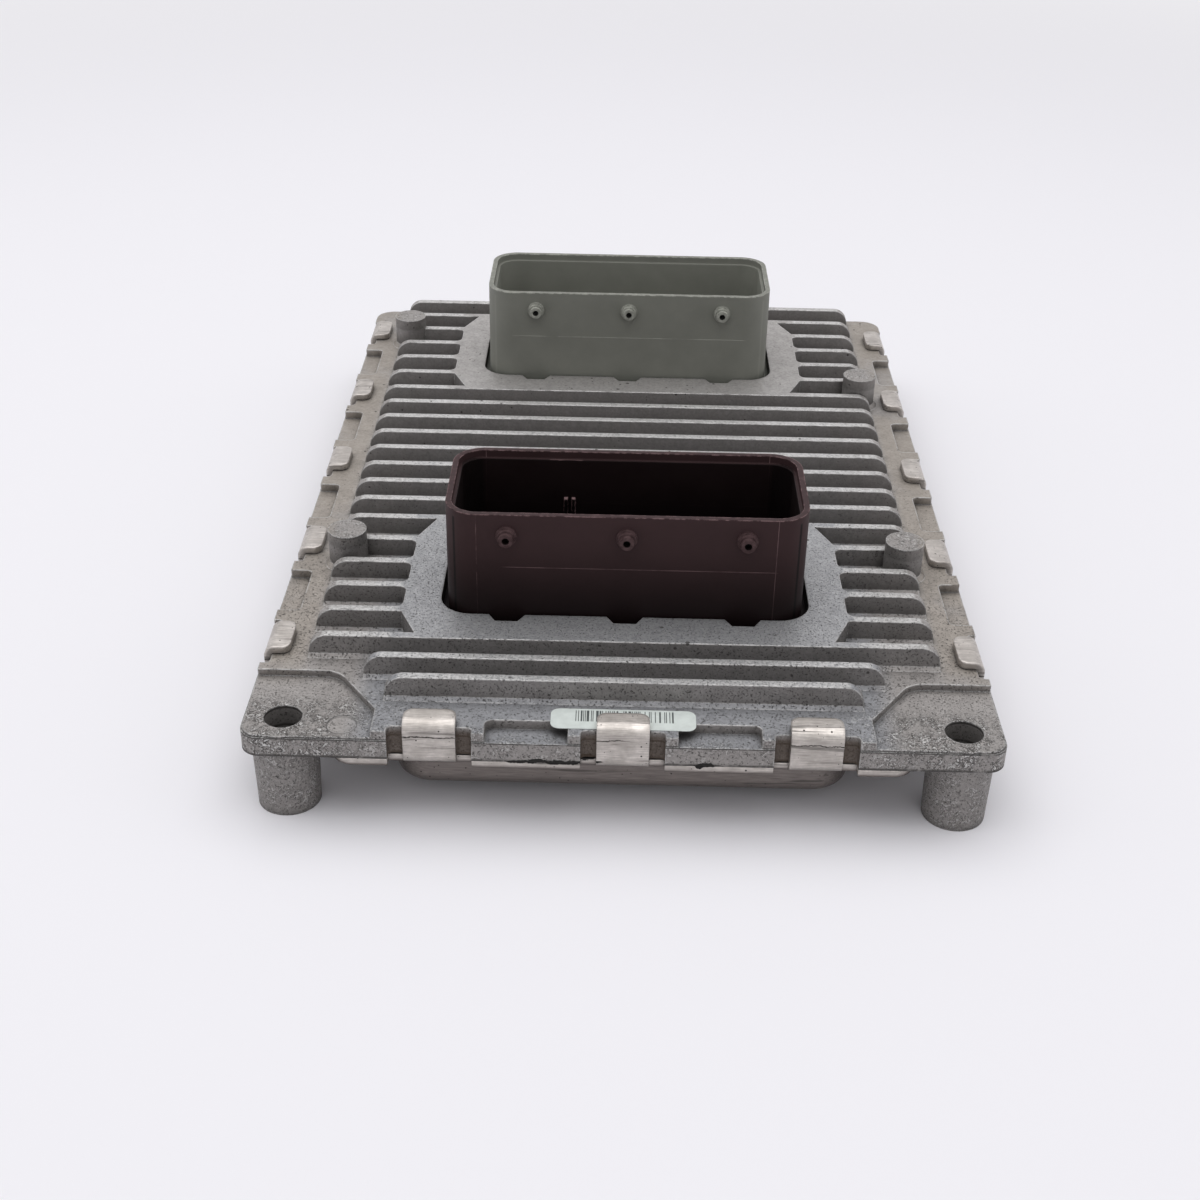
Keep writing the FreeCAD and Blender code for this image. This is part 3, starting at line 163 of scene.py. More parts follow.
class ControlUnitStage(bpy.types.PropertyGroup):
    """The studio round the unit."""

    world_level: bpy.props.FloatProperty(
        name="Sky", description="Strength of the light from all round", default=0.44, min=0.0)
    key_power: bpy.props.FloatProperty(
        name="Key", description="Power of the large lamp overhead", default=6.3, min=0.0, unit="POWER")
    fill_power: bpy.props.FloatProperty(
        name="Fill", description="Power of the lamp in front", default=0.5, min=0.0, unit="POWER")
    side_power: bpy.props.FloatProperty(
        name="Sides", description="Power of each lamp beside the unit", default=0.7, min=0.0, unit="POWER")
    camera_place: bpy.props.FloatVectorProperty(
        name="Camera", description="Place of the camera", default=(-0.00246, -0.34608, 0.19336),
        subtype="TRANSLATION", unit="LENGTH")
    camera_pitch: bpy.props.FloatProperty(
        name="Pitch", description="How far the camera looks down", default=math.radians(30.97),
        unit="ROTATION")
    camera_yaw: bpy.props.FloatProperty(
        name="Yaw", description="How far the camera looks to the right", default=math.radians(-0.49),
        unit="ROTATION")
    camera_roll: bpy.props.FloatProperty(
        name="Roll", description="How far the camera leans", default=math.radians(1.057), unit="ROTATION")
    camera_lens: bpy.props.FloatProperty(
        name="Lens", description="Focal length on a 36 mm sensor", default=51.70, unit="CAMERA")


def add(tree, kind, inputs=None, out=0, **settings):
    """Adds a node with its settings, links or sets its inputs, and returns one of its outputs."""
    new = tree.nodes.new(kind)
    for key, value in settings.items():
        setattr(new, key, value)
    for key, value in (inputs or {}).items():
        if isinstance(value, bpy.types.NodeSocket):
            tree.links.new(value, new.inputs[key])
        else:
            new.inputs[key].default_value = value
    return new.outputs[out] if new.outputs else None


def new_finish(name):
    """An empty material, its node tree, and the place on the piece that patterns read."""
    material = bpy.data.materials.new(name)
    material.use_nodes = True
    tree = material.node_tree
    tree.nodes.clear()
    return material, tree, add(tree, "ShaderNodeTexCoord", out="Object")


def close_finish(tree, **inputs):
    """Ends a material in a Principled shader."""
    named = {key.replace("_", " ").title().replace("Ior", "IOR"): value for key, value in inputs.items()}
    shader = add(tree, "ShaderNodeBsdfPrincipled", named, "BSDF")
    add(tree, "ShaderNodeOutputMaterial", {"Surface": shader})


def band(tree, value, start, full, *within):
    """A soft step from 0 where value is start to 1 where it is full, times other masks and strengths."""
    mask = add(tree, "ShaderNodeMapRange", {"Value": value, "From Min": start, "From Max": full},
               interpolation_type="SMOOTHSTEP")
    for other in within:
        mask = add(tree, "ShaderNodeMath", {0: mask, 1: other}, operation="MULTIPLY")
    return mask


def apart(tree, value, middle):
    """How far a value is from a middle one, to either side."""
    gap = add(tree, "ShaderNodeMath", {0: value, 1: middle}, operation="SUBTRACT")
    return add(tree, "ShaderNodeMath", {0: gap}, operation="ABSOLUTE")


def stripe(tree, value, middle, edge, core, *within):
    """1 closer than core to a middle value, 0 further than edge from it, times other masks and strengths."""
    return band(tree, apart(tree, value, middle), edge, core, *within)


def up_and_upright(tree):
    """Two masks: 1 on faces that look up, and 1 on all others."""
    normal = add(tree, "ShaderNodeNewGeometry", out="True Normal")
    height = add(tree, "ShaderNodeSeparateXYZ", {0: normal}, "Z")
    return band(tree, height, 0.35, 0.8), band(tree, height, 0.8, 0.35)


def worn_and_highlit_edges(tree, soft, breaks):
    """1 along edges, broken up by a pattern, where handling wears the skin and a painted highlight lies; soft
    is the rounded normal.
    """
    hard = add(tree, "ShaderNodeNewGeometry", out="Normal")
    agree = add(tree, "ShaderNodeVectorMath", {0: soft, 1: hard}, "Value", operation="DOT_PRODUCT")
    return band(tree, agree, 0.995, 0.9, breaks)


def corner_shade_and_dirt(tree, reach):
    """1 deep in corners and between fins, 0 in the open: dirt, and painted shade where light is cut off."""
    open_sky = add(tree, "ShaderNodeAmbientOcclusion", {"Distance": reach}, "AO", samples=6)
    return band(tree, open_sky, 0.8, 0.3)


def pits(tree, place, spacing, density):
    """1 in small round pits of different sizes; density from 0 to 1 says how many cells have one."""
    cells = {"Vector": place, "Scale": 1 / spacing}
    distance = add(tree, "ShaderNodeTexVoronoi", cells, "Distance")
    chance = add(tree, "ShaderNodeSeparateColor", {0: add(tree, "ShaderNodeTexVoronoi", cells, "Color")}, 0)
    size = add(tree, "ShaderNodeMath", {0: density, 1: chance}, operation="SUBTRACT")
    radius = add(tree, "ShaderNodeMath", {0: size, 1: 0.3}, operation="MULTIPLY", use_clamp=True)
    depth = add(tree, "ShaderNodeMath", {0: radius, 1: distance}, operation="SUBTRACT")
    return band(tree, depth, 0.0, 0.05)


def round_holes(tree, place, near, far, *within):
    """1 round the two corner holes, fading from near to far from their axes, times other masks."""
    folded = add(tree, "ShaderNodeVectorMath", {0: place}, operation="ABSOLUTE")
    x = add(tree, "ShaderNodeSeparateXYZ", {0: folded}, "X")
    y = add(tree, "ShaderNodeSeparateXYZ", {0: place}, "Y")
    flat = add(tree, "ShaderNodeCombineXYZ", {"X": x, "Y": y})
    away = add(tree, "ShaderNodeVectorMath", {0: flat, 1: CORNER_HOLE}, "Value", operation="DISTANCE")
    return band(tree, away, far, near, *within)


def sealant_smear(tree, x, y, z, ragged):
    """1 where sealant came out of the joint in front, in a long smear on the left and a short one right."""
    left = stripe(tree, x, -12.2 * MM, 9.4 * MM, 7.0 * MM)
    right = stripe(tree, x, 14.4 * MM, 2.4 * MM, 1.2 * MM)
    both = add(tree, "ShaderNodeMath", {0: left, 1: right}, operation="MAXIMUM")
    width = add(tree, "ShaderNodeMapRange", {"Value": ragged, "From Min": 0.35, "From Max": 0.65,
                                             "To Min": 0.1 * MM, "To Max": 1.0 * MM})
    reach = band(tree, y, FRONT_LUGS, FRONT_LUGS - 5 * MM, both, width)
    covered = add(tree, "ShaderNodeMath", {0: reach, 1: apart(tree, z, JOINT)}, operation="SUBTRACT")
    return band(tree, covered, 0.0, 0.12 * MM)


def cast_skin(tree, place, y, z, in_hole, mottle, sizes):
    """The rough skin round the corner holes, in front and on the bosses.

    Gives its ridges, its dark lines with the ring of the ejector mark, and the bright crests beside them.
    """
    worm = add(tree, "ShaderNodeTexNoise", {"Vector": place, "Scale": 1 / sizes.flow, "Detail": 2.0,
                                           "Distortion": 1.6})
    zones = round_holes(tree, place, 8 * MM, 26 * MM, band(tree, y, FRONT_LUGS, FRONT_LUGS - 5 * MM))
    front = band(tree, y, FRONT_FACE + 3.7 * MM, FRONT_FACE + 0.7 * MM, 0.5)
    bosses = band(tree, z, BOSS_TOP - 0.55 * MM, BOSS_TOP - 0.15 * MM, 0.55)
    for zone in (front, bosses):
        zones = add(tree, "ShaderNodeMath", {0: zones, 1: zone}, operation="MAXIMUM")
    over_foot = band(tree, z, JOINT - 0.8 * MM, JOINT + 0.2 * MM)
    over_foot = add(tree, "ShaderNodeMapRange", {"Value": over_foot, "To Min": 0.55})
    off_hole = add(tree, "ShaderNodeMath", {0: 1.0, 1: in_hole}, operation="SUBTRACT")
    away = add(tree, "ShaderNodeVectorMath", {0: place, 1: EJECTOR_MARK}, "Value", operation="DISTANCE")
    off_mark = band(tree, away, MARK_RADIUS - 0.1 * MM, MARK_RADIUS + 0.1 * MM)
    rough = band(tree, mottle, 0.4, 0.56, zones, over_foot, off_hole, off_mark)
    ring = stripe(tree, away, MARK_RADIUS, 0.22 * MM, 0.08 * MM, 0.45)
    lines = stripe(tree, worm, 0.5, 0.07, 0.02, rough)
    lines = add(tree, "ShaderNodeMath", {0: lines, 1: ring}, operation="MAXIMUM")
    ridges = add(tree, "ShaderNodeMath", {0: worm, 1: rough}, operation="MULTIPLY")
    return ridges, lines, stripe(tree, worm, 0.61, 0.06, 0.015, rough)


def cast_pits(tree, place, y, cloud, sizes):
    """1 in pits of two sizes and in fine pepper, which is thickest in front."""
    density = add(tree, "ShaderNodeMapRange", {"Value": cloud, "From Min": 0.35, "From Max": 0.7,
                                               "To Min": 0.35, "To Max": 0.8})
    sand = add(tree, "ShaderNodeTexNoise", {"Vector": place, "Scale": 1 / (sizes.grain * 0.7), "Detail": 4.0,
                                            "Roughness": 0.7})
    limit = add(tree, "ShaderNodeMapRange", {"Value": band(tree, y, 60 * MM, -70 * MM), "To Min": 0.32,
                                             "To Max": 0.43})
    pepper = add(tree, "ShaderNodeMath", {0: limit, 1: sand}, operation="SUBTRACT")
    pitted = band(tree, pepper, 0.0, 0.05)
    for spacing in (sizes.pit, sizes.pit * 0.4):
        pitted = add(tree, "ShaderNodeMath", {0: pitted, 1: pits(tree, place, spacing, density)},
                     operation="MAXIMUM")
    return pitted


def fin_top_wear_and_highlight(tree, side, y, z, up, grain):
    """1 on the tops of the fins, rubbed and with a painted highlight, and less on the platforms round the
    headers.
    """
    front, rear = (apart(tree, y, centre) for centre in (FRONT_HEADER, REAR_HEADER))
    away = add(tree, "ShaderNodeMath", {0: front, 1: rear}, operation="MINIMUM")
    platform = band(tree, away, 27 * MM, 26.4 * MM, band(tree, side, 43.5 * MM, 42.5 * MM))
    strength = add(tree, "ShaderNodeMapRange", {"Value": platform, "To Min": 0.85, "To Max": 0.25})
    return band(tree, z, FIN_TOP - 0.25 * MM, FIN_TOP - 0.05 * MM, up, band(tree, z, 25 * MM, 24 * MM),
                band(tree, grain, 0.1, 0.6), strength)


def cast_seams(tree, y, z, upright, mottle):
    """1 along the parting line, and in the joint with the cover as far back as the rear lug."""
    line = stripe(tree, z, PARTING, 0.3 * MM, 0.1 * MM)
    joint = band(tree, z, JOINT + 0.7 * MM, JOINT + 0.2 * MM, band(tree, z, JOINT - 0.2 * MM, JOINT),
                 band(tree, y, REAR_FACE + 1.1 * MM, REAR_FACE + 0.8 * MM))
    seams = add(tree, "ShaderNodeMath", {0: line, 1: joint}, operation="MAXIMUM")
    return band(tree, mottle, 0.25, 0.5, seams, upright)


def tab_notches(tree, side, y, z):
    """1 on the walls of the notches behind the three front tabs."""
    away = add(tree, "ShaderNodeMath", {0: apart(tree, side, TAB_PITCH), 1: side}, operation="MINIMUM")
    return band(tree, away, 9.0 * MM, 8.4 * MM, band(tree, y, FRONT_FACE + 0.2 * MM, FRONT_FACE + 0.8 * MM),
                band(tree, y, FRONT_FACE + 3.7 * MM, FRONT_FACE + 2.7 * MM),
                band(tree, z, FLANGE_TOP - 0.05 * MM, FLANGE_TOP - 1.45 * MM), 0.75)


def die_cast_aluminium(colours, sizes):
    """Aluminium-silicon alloy cast under pressure in a steel mould, left bare and handled for years.

    The mould gives a fine dull grain with flow marks and pits, worst at the lugs. Rubbing brightens the fin
    tops and edges, which also carry a painted highlight. Painted shade darkens the faces of the fins, the
    holes and the sides of the bosses, and dirt with painted shade darkens the corners.
    """
    material, tree, place = new_finish("die_cast_aluminium")
    x, y, z = add(tree, "ShaderNodeSeparateXYZ", {0: place}).node.outputs
    side = add(tree, "ShaderNodeMath", {0: x}, operation="ABSOLUTE")
    up, upright = up_and_upright(tree)
    cloud = add(tree, "ShaderNodeTexNoise", {"Vector": place, "Scale": 1 / sizes.cloud, "Detail": 4.0})
    mottle = add(tree, "ShaderNodeTexNoise", {"Vector": place, "Scale": 1 / (sizes.flow * 3), "Detail": 5.0,
                                             "Roughness": 0.65})
    grain = add(tree, "ShaderNodeTexNoise", {"Vector": place, "Scale": 1 / sizes.grain, "Detail": 3.0})
    in_hole = round_holes(tree, place, HOLE_RADIUS + 0.08 * MM, HOLE_RADIUS + 0.18 * MM,
                          band(tree, z, LUG_TOP - 0.15 * MM, LUG_TOP - 0.35 * MM))
    ridges, lines, crests = cast_skin(tree, place, y, z, in_hole, mottle, sizes)

    cool = band(tree, side, 50 * MM, 44 * MM, up, band(tree, y, 50 * MM, -40 * MM))
    warm = band(tree, side, 57 * MM, 60 * MM, band(tree, cloud, 0.3, 0.5),
                band(tree, y, FRONT_LUGS, FRONT_LUGS + 12 * MM))
    # Painted shade: the upright faces of the fins take the darker fin-face colour
    fin_face_shade_mask = band(tree, z, FLANGE_TOP - 0.15 * MM, FLANGE_TOP + 0.55 * MM,
                    band(tree, z, 26.8 * MM, 23.3 * MM), upright)
    # Edges rubbed bright with a painted highlight, fin tops rubbed and highlit the same way, and the bright
    # crests of the rough skin
    soft = add(tree, "ShaderNodeBevel", {"Radius": sizes.worn_edge}, samples=6)
    worn = worn_and_highlit_edges(tree, soft, band(tree, mottle, 0.3, 0.52))
    for bright in (fin_top_wear_and_highlight(tree, side, y, z, up, grain), crests):
        worn = add(tree, "ShaderNodeMath", {0: worn, 1: bright}, operation="MAXIMUM")
    tone = colours.cast_grey
    for mask, over in ((cool, colours.cast_cool), (warm, colours.cast_warm), (fin_face_shade_mask, colours.painted_fin_face_shade),
                       (worn, colours.cast_wear_and_highlight)):
        tone = add(tree, "ShaderNodeMix", {0: mask, 6: tone, 7: over}, 2, data_type="RGBA")

    spots = add(tree, "ShaderNodeMapRange", {"Value": mottle, **NOISE_SPAN, "To Min": 0.88, "To Max": 1.1})
    salt = add(tree, "ShaderNodeMapRange", {"Value": grain, **NOISE_SPAN, "To Min": 0.88, "To Max": 1.1})
    feet = add(tree, "ShaderNodeMapRange", {"Value": z, "From Min": JOINT - 0.6 * MM,
                                            "From Max": JOINT + 0.2 * MM, "To Min": 0.86, "To Max": 1.0})
    # Painted shade inside the corner holes
    holes = add(tree, "ShaderNodeMapRange", {"Value": in_hole, "To Min": 1.0, "To Max": 0.75})
    # Painted shade on the upright sides of the bosses
    boss_side_shade = band(tree, z, FIN_TOP + 0.25 * MM, FIN_TOP + 0.95 * MM, upright)
    boss_side_shade = add(tree, "ShaderNodeMapRange", {"Value": boss_side_shade, "To Min": 1.0, "To Max": 0.7})
    for shade in (spots, salt, feet, holes, boss_side_shade):
        tone = add(tree, "ShaderNodeVectorMath", {0: tone, "Scale": shade}, operation="SCALE")

    # Painted shade deep between the fins of the front rows
    front_fin_valley_shade = band(tree, z, FIN_TOP - 0.05 * MM, FLANGE_TOP + 0.55 * MM, fin_face_shade_mask,
                  band(tree, y, -82 * MM, -60 * MM), 0.5)
    # Dirt and painted shade: occlusion darkens corners and gaps, shade lies between the front fins, and
    # seams, pits and sealant add real dark marks
    corners = corner_shade_and_dirt(tree, 3 * MM)
    for mask in (front_fin_valley_shade, cast_seams(tree, y, z, upright, mottle)):
        corners = add(tree, "ShaderNodeMath", {0: corners, 1: mask}, operation="MAXIMUM")
    corners = add(tree, "ShaderNodeMath", {0: corners, 1: 0.85}, operation="MULTIPLY")
    dark = add(tree, "ShaderNodeMath", {0: cast_pits(tree, place, y, cloud, sizes), 1: lines},
               operation="MAXIMUM")
    dark = add(tree, "ShaderNodeMath", {0: dark, 1: 0.8}, operation="MULTIPLY")
    smear = sealant_smear(tree, x, y, z, mottle)
    dirt_and_shade = add(tree, "ShaderNodeMath", {0: corners, 1: dark}, operation="MAXIMUM")
    dirt_and_shade = add(tree, "ShaderNodeMath", {0: dirt_and_shade, 1: smear}, operation="MAXIMUM")
    # The notch walls behind the tabs take a brown that is partly stain and partly painted shade
    notch = tab_notches(tree, side, y, z)
    for mask, over in ((dirt_and_shade, colours.grime), (smear, colours.sealant), (notch, colours.notch_stain_and_shade)):
        tone = add(tree, "ShaderNodeMix", {0: mask, 6: tone, 7: over}, 2, data_type="RGBA")

    gloss = add(tree, "ShaderNodeMapRange", {"Value": mottle, **NOISE_SPAN, "To Min": 0.62, "To Max": 0.44})
    gloss = add(tree, "ShaderNodeMix", {0: worn, 2: gloss, 3: 0.36})
    gloss = add(tree, "ShaderNodeMix", {0: dirt_and_shade, 2: gloss, 3: 0.85})
    metal = add(tree, "ShaderNodeMapRange", {"Value": dirt_and_shade, "To Min": 0.45, "To Max": 0.05})
    relief = add(tree, "ShaderNodeMath", {0: grain, 1: 0.35, 2: mottle}, operation="MULTIPLY_ADD")
    relief = add(tree, "ShaderNodeMath", {0: ridges, 1: 3.0, 2: relief}, operation="MULTIPLY_ADD")
    relief = add(tree, "ShaderNodeMath", {0: relief, 1: dark}, operation="SUBTRACT")
    bump = add(tree, "ShaderNodeBump", {"Height": relief, "Distance": 0.16 * MM, "Strength": 0.9,
                                        "Normal": soft})
    close_finish(tree, base_color=tone, metallic=metal, roughness=gloss, normal=bump)
    return material


def rolled_aluminium(colours, sizes):
    """Rolled aluminium sheet, pressed and folded.

    Rolling leaves fine straight marks and a satin gloss. Folding cracks and polishes the outside of the
    bends, so they shine and show specks. Rubbed edges carry a painted highlight, the pan under the rim
    carries painted shade, and dirt gathers, with painted shade, where the sheet meets the casting.
    """
    material, tree, place = new_finish("rolled_aluminium_sheet")
    x, y, z = add(tree, "ShaderNodeSeparateXYZ", {0: place}).node.outputs
    along = add(tree, "ShaderNodeMapping", {"Vector": place, "Scale": (0.06, 1.0, 1.0)})
    marks = add(tree, "ShaderNodeTexNoise", {"Vector": along, "Scale": 1 / sizes.brush, "Detail": 3.0,
                                            "Roughness": 0.6})
    mottle = add(tree, "ShaderNodeTexNoise", {"Vector": place, "Scale": 1 / (4 * MM), "Detail": 5.0,
                                             "Roughness": 0.7})
    streak = add(tree, "ShaderNodeTexNoise", {"Vector": along, "Scale": 1 / (1.2 * MM), "Detail": 3.0,
                                             "Distortion": 0.6})
    soft = add(tree, "ShaderNodeBevel", {"Radius": sizes.worn_edge * 1.4}, samples=6)
    worn = worn_and_highlit_edges(tree, soft, band(tree, mottle, 0.35, 0.5))
    # Painted shade: the pan below the rim, under the flange, takes the darker sheet colour
    pan = band(tree, z, COVER_RIM + 0.8 * MM, COVER_RIM)
    # Bright patches of the sheet, and rubbed edges that carry a painted highlight
    tone = colours.sheet_silver
    for mask, over in ((band(tree, mottle, 0.35, 0.75), colours.sheet_polish_and_highlight), (worn, colours.sheet_polish_and_highlight),
                       (pan, colours.sheet_shade_under_rim)):
        tone = add(tree, "ShaderNodeMix", {0: mask, 6: tone, 7: over}, 2, data_type="RGBA")
    lines = add(tree, "ShaderNodeMapRange", {"Value": marks, **NOISE_SPAN, "To Min": 0.74, "To Max": 1.12})
    tone = add(tree, "ShaderNodeVectorMath", {0: tone, "Scale": lines}, operation="SCALE")

    # The fold of each tab is cracked along a wandering line
    wander = add(tree, "ShaderNodeMath", {0: mottle, 1: 1.6 * MM, 2: z}, operation="MULTIPLY_ADD")
    crack = stripe(tree, wander, 18.6 * MM, 0.16 * MM, 0.05 * MM, band(tree, streak, 0.38, 0.5))
    specks = pits(tree, place, 0.8 * MM, band(tree, mottle, 0.0, 0.8))
    specks = add(tree, "ShaderNodeMath", {0: specks, 1: crack}, operation="MAXIMUM")
    sealed = band(tree, z, JOINT + 0.3 * MM, JOINT + 0.1 * MM, sealant_smear(tree, x, y, z, mottle))
    # Dirt and painted shade: occlusion darkens corners and the joint with the casting, joined by specks,
    # cracks, streaks and sealant
    dirt_and_shade = add(tree, "ShaderNodeMath", {0: corner_shade_and_dirt(tree, 2.5 * MM), 1: 0.85}, operation="MULTIPLY")
    for mask in (specks, band(tree, streak, 0.6, 0.68, 0.5), sealed):
        dirt_and_shade = add(tree, "ShaderNodeMath", {0: dirt_and_shade, 1: mask}, operation="MAXIMUM")
    for mask, over in ((dirt_and_shade, colours.grime), (sealed, colours.sealant)):
        tone = add(tree, "ShaderNodeMix", {0: mask, 6: tone, 7: over}, 2, data_type="RGBA")

    gloss = add(tree, "ShaderNodeMapRange", {"Value": marks, **NOISE_SPAN, "To Min": 0.48, "To Max": 0.32})
    gloss = add(tree, "ShaderNodeMix", {0: dirt_and_shade, 2: gloss, 3: 0.8})
    metal = add(tree, "ShaderNodeMapRange", {"Value": dirt_and_shade, "To Min": 0.85, "To Max": 0.1})
    relief = add(tree, "ShaderNodeMath", {0: marks, 1: 0.5, 2: mottle}, operation="MULTIPLY_ADD")
    relief = add(tree, "ShaderNodeMath", {0: relief, 1: specks}, operation="SUBTRACT")
    bump = add(tree, "ShaderNodeBump", {"Height": relief, "Distance": 0.05 * MM, "Strength": 0.8,
                                        "Normal": soft})
    close_finish(tree, base_color=tone, metallic=metal, roughness=gloss, normal=bump)
    return material


def mould_lines(tree, side, z, outside, upright, mottle, upright_lines, width):
    """1 on the line round the sides and on the upright lines where the corner inserts of the mould met."""
    level = stripe(tree, z, MOULD_LINE, width * 0.75, width * 0.3, band(tree, side, 28.4 * MM, 27 * MM))
    post = stripe(tree, side, HEADER_CORNER, width * 0.7, width * 0.25, upright_lines)
    both = add(tree, "ShaderNodeMath", {0: level, 1: post}, operation="MAXIMUM")
    return band(tree, mottle, 0.3, 0.62, both, upright, outside)


def peg_bores(tree, side, z, pegs):
    """1 inside the bores at the ends of the pegs."""
    across = add(tree, "ShaderNodeMath", {0: apart(tree, side, PEG_PITCH), 1: side}, operation="MINIMUM")
    height = add(tree, "ShaderNodeMath", {0: z, 1: PEG_HEIGHT}, operation="SUBTRACT")
    from_axis = add(tree, "ShaderNodeCombineXYZ", {"X": across, "Y": height})
    from_axis = add(tree, "ShaderNodeVectorMath", {0: from_axis}, "Value", operation="LENGTH")
    return band(tree, from_axis, BORE_RADIUS + 0.07 * MM, BORE_RADIUS - 0.03 * MM, pegs)


def moulded_plastic(name, body, rubbed, look, centre, sizes):
    """Glass-filled polyester, injection moulded.

    The glass gives a low satin gloss with a faint mottle. The mould leaves one line round the sides and two
    upright lines where its corner inserts meet, and plugs have rubbed the rim pale and nicked it. The rim,
    the pegs, the edges and the tops of the keys also carry a painted highlight, the inside of the socket is
    painted darker on the brown header and lighter on the grey one, and the brown body is darker towards the
    bottom.
    """
    material, tree, place = new_finish(name)
    x, y, z = add(tree, "ShaderNodeSeparateXYZ", {0: place}).node.outputs
    side = add(tree, "ShaderNodeMath", {0: x}, operation="ABSOLUTE")
    depth = apart(tree, y, centre)
    up, upright = up_and_upright(tree)
    mottle = add(tree, "ShaderNodeTexNoise", {"Vector": place, "Scale": 1 / (6 * MM), "Detail": 5.0,
                                             "Roughness": 0.6})
    fibre = add(tree, "ShaderNodeTexNoise", {"Vector": place, "Scale": 1 / (0.35 * MM), "Detail": 2.0})
    ragged = add(tree, "ShaderNodeTexNoise", {"Vector": place, "Scale": 1 / (1.1 * MM), "Detail": 3.0})
    inside = band(tree, side, HEADER_INNER_SIDE + 0.35 * MM, HEADER_INNER_SIDE - 0.05 * MM,
                  band(tree, depth, HEADER_INNER_DEPTH + 0.3 * MM, HEADER_INNER_DEPTH - 0.1 * MM),
                  band(tree, z, HEADER_RIM - 1.1 * MM, HEADER_RIM - 1.7 * MM))
    outside = add(tree, "ShaderNodeMath", {0: 1.0, 1: inside}, operation="SUBTRACT")
    soft = add(tree, "ShaderNodeBevel", {"Radius": sizes.worn_edge * 0.7}, samples=6)
    worn = worn_and_highlit_edges(tree, soft, band(tree, ragged, 0.38, 0.6))
    line = mould_lines(tree, side, z, outside, upright, mottle, look["upright lines"], sizes.mould_line)
    nicks = pits(tree, place, 5 * MM, 0.22)

    # Rim and pegs are rubbed pale with a painted highlight, lines and nicks stay fainter, and the very edge,
    # rubbed and highlit, is palest
    pegs = band(tree, depth, HEADER_OUTER_DEPTH + 0.2 * MM, HEADER_OUTER_DEPTH + 0.6 * MM,
                band(tree, z, PEG_HEIGHT - 4.1 * MM, PEG_HEIGHT - 3.1 * MM))
    rim = band(tree, z, HEADER_RIM - 0.4 * MM, HEADER_RIM - 0.1 * MM, band(tree, ragged, 0.45, 0.95))
    rim_edge = band(tree, z, HEADER_RIM - 0.9 * MM, HEADER_RIM - 0.3 * MM, worn)
    pale = add(tree, "ShaderNodeMath", {0: rim, 1: band(tree, ragged, 0.2, 0.8, pegs)}, operation="MAXIMUM")
    pale = add(tree, "ShaderNodeMath", {0: pale, 1: look["paleness"]}, operation="MULTIPLY")
    faint = add(tree, "ShaderNodeMath", {0: line, 1: nicks}, operation="MAXIMUM")
    faint = add(tree, "ShaderNodeMath", {0: faint, 1: 0.6}, operation="MULTIPLY")
    for mask in (faint, rim_edge):
        pale = add(tree, "ShaderNodeMath", {0: pale, 1: mask}, operation="MAXIMUM")

    spots = add(tree, "ShaderNodeMapRange", {"Value": mottle, **NOISE_SPAN, "To Min": 0.93, "To Max": 1.06})
    tone = add(tree, "ShaderNodeVectorMath", {0: body[:3], "Scale": spots}, operation="SCALE")
    tone = add(tree, "ShaderNodeMix", {0: pale, 6: tone, 7: rubbed}, 2, data_type="RGBA")
    # Painted shade darkens the inside of the brown socket and painted light brightens the inside of the grey
    # one; the body grows darker towards the bottom as far as its foot brightness says
    foot = band(tree, z, 41 * MM, 23 * MM)
    for mask, brightness in ((inside, look["inside"]), (foot, look["foot"])):
        shade = add(tree, "ShaderNodeMapRange", {"Value": mask, "To Min": 1.0, "To Max": brightness})
        tone = add(tree, "ShaderNodeVectorMath", {0: tone, "Scale": shade}, operation="SCALE")
    # The two thin keys inside, left of the middle, have rubbed edges, and their edges and tops carry a
    # painted highlight
    key = add(tree, "ShaderNodeMath", {0: up, 1: worn}, operation="MAXIMUM")
    key = stripe(tree, x, KEY_PLACE, 3.4 * MM, 3.0 * MM, inside, look["highlit rubbed keys"],
                 band(tree, z, 28 * MM, 30 * MM), key)
    for mask, over in ((key, rubbed), (peg_bores(tree, side, z, pegs), linear(BORE_COLOUR))):
        tone = add(tree, "ShaderNodeMix", {0: mask, 6: tone, 7: over}, 2, data_type="RGBA")

    gloss = add(tree, "ShaderNodeMapRange", {"Value": mottle, **NOISE_SPAN,
                                             "To Min": look["roughness"] - 0.05,
                                             "To Max": look["roughness"] + 0.07})
    gloss = add(tree, "ShaderNodeMix", {0: pale, 2: gloss, 3: 0.7})
    relief = add(tree, "ShaderNodeMath", {0: fibre, 1: 0.12, 2: line}, operation="MULTIPLY_ADD")
    relief = add(tree, "ShaderNodeMath", {0: relief, 1: nicks}, operation="SUBTRACT")
    bump = add(tree, "ShaderNodeBump", {"Height": relief, "Distance": 0.06 * MM, "Strength": 0.8,
                                        "Normal": soft})
    close_finish(tree, base_color=tone, roughness=gloss, normal=bump, ior=1.5,
                 specular_ior_level=look["shine"])
    return material


